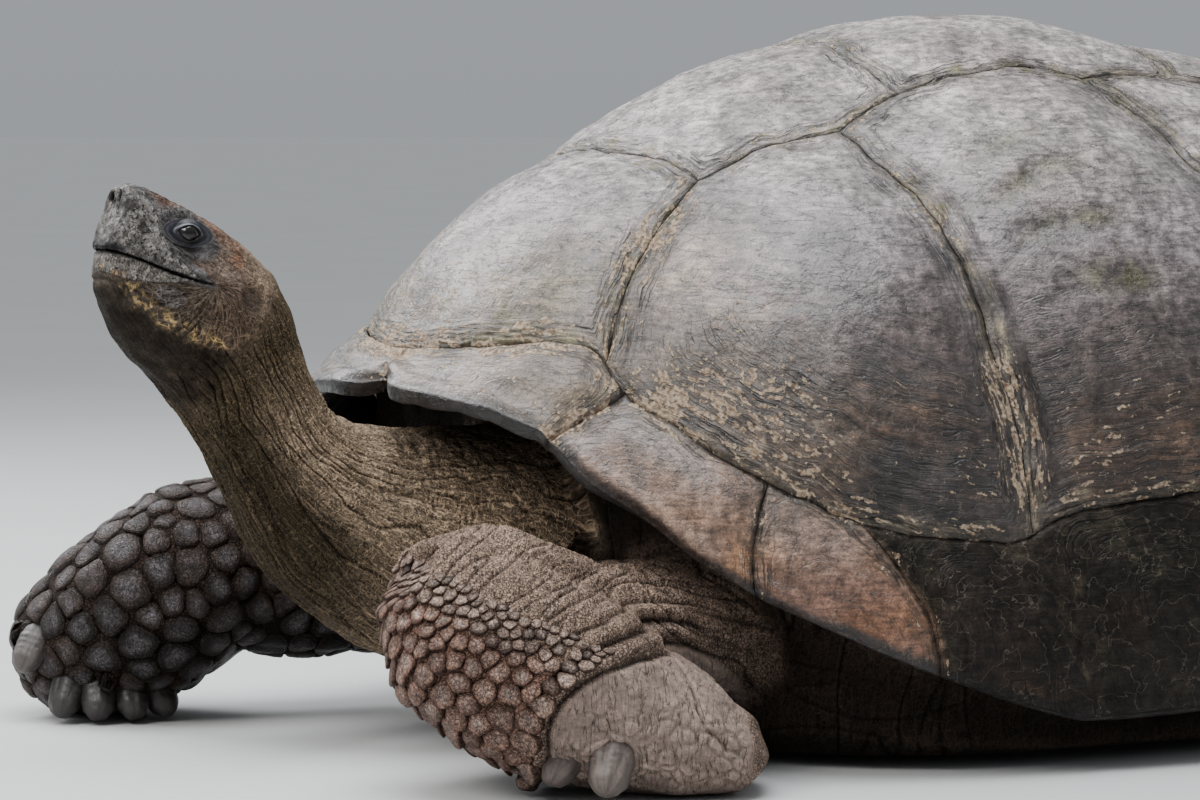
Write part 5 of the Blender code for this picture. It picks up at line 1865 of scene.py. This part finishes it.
def build_scales(name, places, outward, tints, sizes, tree, look, unwrap, rng, high, grey, edge,
                 overhang, gap):
    """Joined rounded scales over a patch of skin, larger or smaller as sizes say."""
    chosen = settled(places, sizes, spread_out(places, sizes, rng))
    seeds, normals, sizes, tints = places[chosen], outward[chosen], sizes[chosen], tints[chosen]
    roots = unwrap(seeds)
    turns = np.linspace(0, 2 * pi, SCALE_TURNS, endpoint=False)
    points, colours, patches, rims = [], [], [], []
    for k in range(len(seeds)):
        n = normals[k]
        down = np.array((0, 0, -1.0)) - n * -n[2]
        down /= max(np.linalg.norm(down), 1e-6)
        across = np.cross(n, down)
        reach = scale_outline(k, seeds, normals, sizes, across, down, turns) * gap
        reach = reach * (1 + 0.07 * overhang * np.sin(turns)) * rng.uniform(0.95, 1.03)
        rise = sizes[k] * high * rng.uniform(0.75, 1.25)
        share = rng.uniform(0.75, 1.2)
        worn = rng.uniform(0.25, 0.95)
        rings = [(0.0, 1.0), *zip(SCALE_RINGS, SCALE_RISE)]
        for rho, level in rings:
            spot = turns if rho else turns[:1]
            away = reach[: len(spot)] * rho
            for ax, ay in zip(away * np.cos(spot), away * np.sin(spot)):
                start = seeds[k] + across * ax + down * ay
                hit = tree.ray_cast(Vector(start + n * PROBE_START), Vector(-n), PROBE_REACH)
                base = start if hit[0] is None else np.array(hit[0])
                tip = overhang * 0.22 * (ay + 0.25 * sizes[k]) * (level > -0.3)
                points.append(base + n * (rise * level + tip))
                patches.append(roots[k] + 0.0015 * rho * np.array((ax, ay)) / (sizes[k] * 0.5))
            tint = tints[k] * share
            tint = tint + (tone(*grey) * share - tint) * worn * float(ease((0.80 - rho) / 0.5))
            tint = tint + (tone(*edge) - tint) * float(ease((rho - 0.78) / 0.2)) * 0.85
            colours += [tint] * len(spot)
            rims += [rho] * len(spot)
    points = np.array(points)
    points += 0.0004 * noise(points * 210, 171)[:, None]
    points[:, 2] = np.maximum(points[:, 2], 0.0006)
    mesh = mesh_from(points, scale_faces(len(seeds)))
    turn_outwards(mesh)
    put_values(mesh, tint=np.array(colours), rim=np.array(rims))
    corners = whole_of(mesh.loops, "vertex_index")
    bake = mesh.uv_layers.new(name="OFBake")
    bake.data.foreach_set("uv", np.array(patches, np.float32)[corners].ravel())
    add_piece(name, mesh, look)


def scale_faces(count):
    """The faces of that many scales, each a middle point and its rings."""
    one = [(0, 1 + k, 1 + (k + 1) % SCALE_TURNS) for k in range(SCALE_TURNS)]
    one += [tuple(1 + corner for corner in face) for face in grid_faces(len(SCALE_RINGS), SCALE_TURNS)]
    size = 1 + SCALE_TURNS * len(SCALE_RINGS)
    return [tuple(corner + k * size for corner in face) for k in range(count) for face in one]


def round_an_axis(middle):
    """An unwrap of a limb round an upright line through its middle."""
    def unwrap(points):
        turn = np.arctan2(points[:, 0] - middle[0], points[:, 1] - middle[1]) / (2 * pi) + 0.5
        return packed(0.02 + 0.96 * turn, 0.02 + 0.96 * points[:, 2] / LEG_HEIGHT)
    return unwrap


def coat_patch(mesh, points, normals, tints, chosen, rng):
    """Places, outward directions and colours to seed scales on, and the smoothed ground below."""
    used, faces = patch_of(mesh, chosen)
    ground = mesh_from(points[used], faces)
    soft = averaged(points[used], edges_of(ground), 10)
    way = averaged(normals[used], edges_of(ground), 10)
    way /= np.maximum(lengths(way), 1e-9)[:, None]
    tree = BVHTree.FromPolygons([Vector(p) for p in soft], faces)
    bpy.data.meshes.remove(ground)
    picked = rng.permutation(len(used))[:MOST_PLACES]
    return soft[picked], way[picked], tints[used][picked], tree


def scale_line(points):
    """How far inside the scaly part of the left foreleg a point is, under 0 outside it."""
    out, _, along = foot_places(points)
    line = SCALY_LEVEL - points[:, 2] - SCALY_SLOPE * (along - SCALY_FROM)
    return np.where(out > 1.12, line, -1.0)


def build_coat(mesh):
    """The scales of the left foreleg, the right foreleg and both hind legs, in that order."""
    points, normals, tints = points_of(mesh), normals_of(mesh), tints_of(mesh)
    x, y, z = points.T
    rng = np.random.default_rng(7)
    warm, slate = scale_look("scales_brown", 0.50, 0.13), scale_look("scales_slate", 0.42, 0.17)

    front_left = (x > 0.16) & (y < -0.42) & (z > 0.006) & (z < 0.26)
    near = front_left.copy()
    near[front_left] = scale_line(points[front_left]) > -0.026
    near[near] &= nearness(points[near], "foreleg_left", 0.012) > 0.2
    places, way, colours, tree = coat_patch(mesh, points, normals, tints, near, rng)
    sizes = np.clip(0.0066 + (scale_line(places) + 0.026) * 0.155, 0.0066, 0.0195)
    build_scales("scales_foreleg_left", places, way, colours, sizes, tree, warm,
                 round_an_axis(FOOT_LEFT), rng, **COATS["foreleg_left"])

    far = (x < -0.10) & (y < -0.42) & (z > 0.007) & (z < 0.27)
    far[far] = nearness(points[far], "foreleg_right", 0.012) > 0.2
    places, way, colours, tree = coat_patch(mesh, points, normals, tints, far, rng)
    toes = ease((0.075 - places[:, 2]) / 0.05)
    upper = ease((places[:, 2] - 0.15) / 0.05)
    inner = ease((places[:, 0] + 0.20) / 0.06)
    sizes = 0.030 - 0.008 * toes - 0.007 * upper - 0.010 * inner
    sizes *= 1 + 0.42 * noise(places * 34, 181)
    build_scales("scales_foreleg_right", places, way, colours, np.clip(sizes, 0.012, 0.038), tree,
                 slate, round_an_axis(FOOT_RIGHT), rng, **COATS["foreleg_right"])

    for name, side in SIDES.items():
        hind = (y > 0.22) & (x * side > 0.10) & (z > 0.010) & (z < 0.20)
        hind[hind] = nearness(points[hind], f"hind_leg_{name}", 0.012) > 0.2
        places, way, colours, tree = coat_patch(mesh, points, normals, tints, hind, rng)
        sizes = 0.019 + 0.008 * noise(places * 14, 182)
        build_scales(f"scales_hind_leg_{name}", places, way, colours, np.clip(sizes, 0.012, 0.026),
                     tree, slate, round_an_axis((0.262 * side, 0.45)), rng, **COATS["hind_leg"])


# ---- Claws and plastron -------------------------------------------------------------------------
# Claw colours by side, with one claw of its own; the right side's darker colours are partly painted
# shade.
CLAW_COLOURS_AND_SHADE = {"left": (80, 70, 65), "right": (36, 32, 31), "claw_fore_right_1": (62, 57, 54)}


def build_claw(name, look, colour):
    """A claw over its solid, rounded off, ridged along its length and chipped at its tip."""
    mesh = regrown(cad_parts[name].data.copy(), CLAW_VOXEL)
    points, edges = points_of(mesh), edges_of(mesh)
    points = smoothed(points, edges, 44)
    put_points(mesh, points)
    normals = normals_of(mesh)
    middle = points.mean(axis=0)
    axis = np.linalg.svd(points - middle, full_matrices=False)[2][0]
    axis *= -np.sign(axis[2])
    along = (points - middle) @ axis
    across = points - middle - along[:, None] * axis
    broad = 1.18 if name.startswith("claw_fore_left") else 1.06
    points = middle + across * broad + along[:, None] * axis * 0.90
    first = unit(np.cross(axis, (1.0, 0.0, 0.0)))
    turn = np.arctan2(across @ np.cross(axis, first), across @ first)
    where = packed(np.cos(turn) * 5, np.sin(turn) * 5, along * 30 + middle[0] * 50)
    tip = ease(along / 0.02)
    high = 0.0030 + 0.0004 * noise(where, 191) - 0.0008 * tip * ease(noise(points * 160, 192))
    high += 0.0002 * np.sin(along * 900 + 3 * noise(points * 60, 193)) * (1 - tip)
    points = points + normals * high[:, None]
    points[:, 2] = np.maximum(points[:, 2], 0.0004)
    put_points(mesh, points)
    tint = paint(plain(colour, len(points)), tone(*colour) * 1.6, tip * 0.6)
    tint = paint(tint, tone(44, 36, 32), ease((-along - 0.006) / 0.012) * 0.7)
    put_values(mesh, tint=tint, flow=packed(np.cos(turn) * 0.013, np.sin(turn) * 0.013, along))
    add_piece(name + "_horn", mesh, look, name)


def build_claws():
    look = claw_look()
    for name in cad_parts:
        if name.startswith("claw_"):
            side = "left" if "left" in name else "right"
            build_claw(name, look, CLAW_COLOURS_AND_SHADE.get(name, CLAW_COLOURS_AND_SHADE[side]))


# ---- Stage, light and camera --------------------------------------------------------------------
FLOOR_RADIUS, FLOOR_COLOUR = 60, (0.52, 0.52, 0.515, 1)
SKY_COLOUR, GLOW_AT_HORIZON = (0.86, 0.90, 0.95, 1), 0.417
CAMERA_PLACE = (3.4698, -2.3301, 0.53)
CAMERA_TURN = (radians(86.4), 0, radians(60))
LENS, SENSOR = 144, 36  # millimetres


def build_stage():
    """A wide, faintly clouded floor."""
    floor = bpy.data.meshes.new("floor")
    shape = bmesh.new()
    bmesh.ops.create_circle(shape, cap_ends=True, segments=96, radius=FLOOR_RADIUS)
    shape.to_mesh(floor)
    shape.free()
    look = Look("studio_floor", 0.8, 0.2)
    base = look.node("RGB").outputs[0]
    base.default_value = FLOOR_COLOUR
    colour = look.scaled(base, look.between(look.noise(2.0, 3.0), 0.97, 1.0))
    look.tree.links.new(colour, look.shader.inputs["Base Color"])
    floor.materials.append(look.made)
    linked("floor", floor)


def add_light(name, place, target, size, power, colour):
    light = bpy.data.lights.new(name, "AREA")
    light.shape = "RECTANGLE"
    light.size, light.size_y = size
    light.energy = power
    light.color = colour
    obj = linked(name, light)
    obj.location = place
    obj.rotation_euler = (Vector(target) - Vector(place)).to_track_quat("-Z", "Y").to_euler()


def build_light():
    world = bpy.data.worlds.new("studio")
    world.use_nodes = True
    tree = world.node_tree
    way = node(tree, "SeparateXYZ", {0: node(tree, "TexCoord").outputs["Generated"]}).outputs["Z"]
    feeds = {"Value": way, "From Min": 0.0, "From Max": 1.0, "To Min": GLOW_AT_HORIZON, "To Max": 1.0}
    glow = node(tree, "MapRange", feeds).outputs["Result"]
    tree.nodes["Background"].inputs["Color"].default_value = SKY_COLOUR
    tree.links.new(glow, tree.nodes["Background"].inputs["Strength"])
    bpy.context.scene.world = world
    add_light("overhead", (0.3, -0.7, 3.0), (0, -0.2, 0.3), (2.2, 2.2), 125, (0.95, 0.98, 1.0))
    add_light("key", (0.9, -3.2, 2.6), (0.1, -0.3, 0.3), (1.4, 1.4), 75, (1.0, 0.98, 0.95))
    add_light("rim", (-2.6, -1.2, 2.4), (0, -0.3, 0.4), (2.0, 2.0), 130, (0.97, 0.98, 1.0))


def build_camera():
    lens = bpy.data.cameras.new("camera")
    lens.lens = LENS
    lens.sensor_width = SENSOR
    camera = linked("camera", lens)
    camera.location = CAMERA_PLACE
    camera.rotation_euler = CAMERA_TURN
    bpy.context.scene.camera = camera


build_stage()
build_light()
build_camera()
skin_mesh, *face = build_skin()
add_piece("skin", skin_mesh, skin_look(), *FLESH)
build_face(skin_mesh, *face)
build_coat(skin_mesh)
build_shell()
build_claws()
dress(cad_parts["plastron"].data, plastron_look())
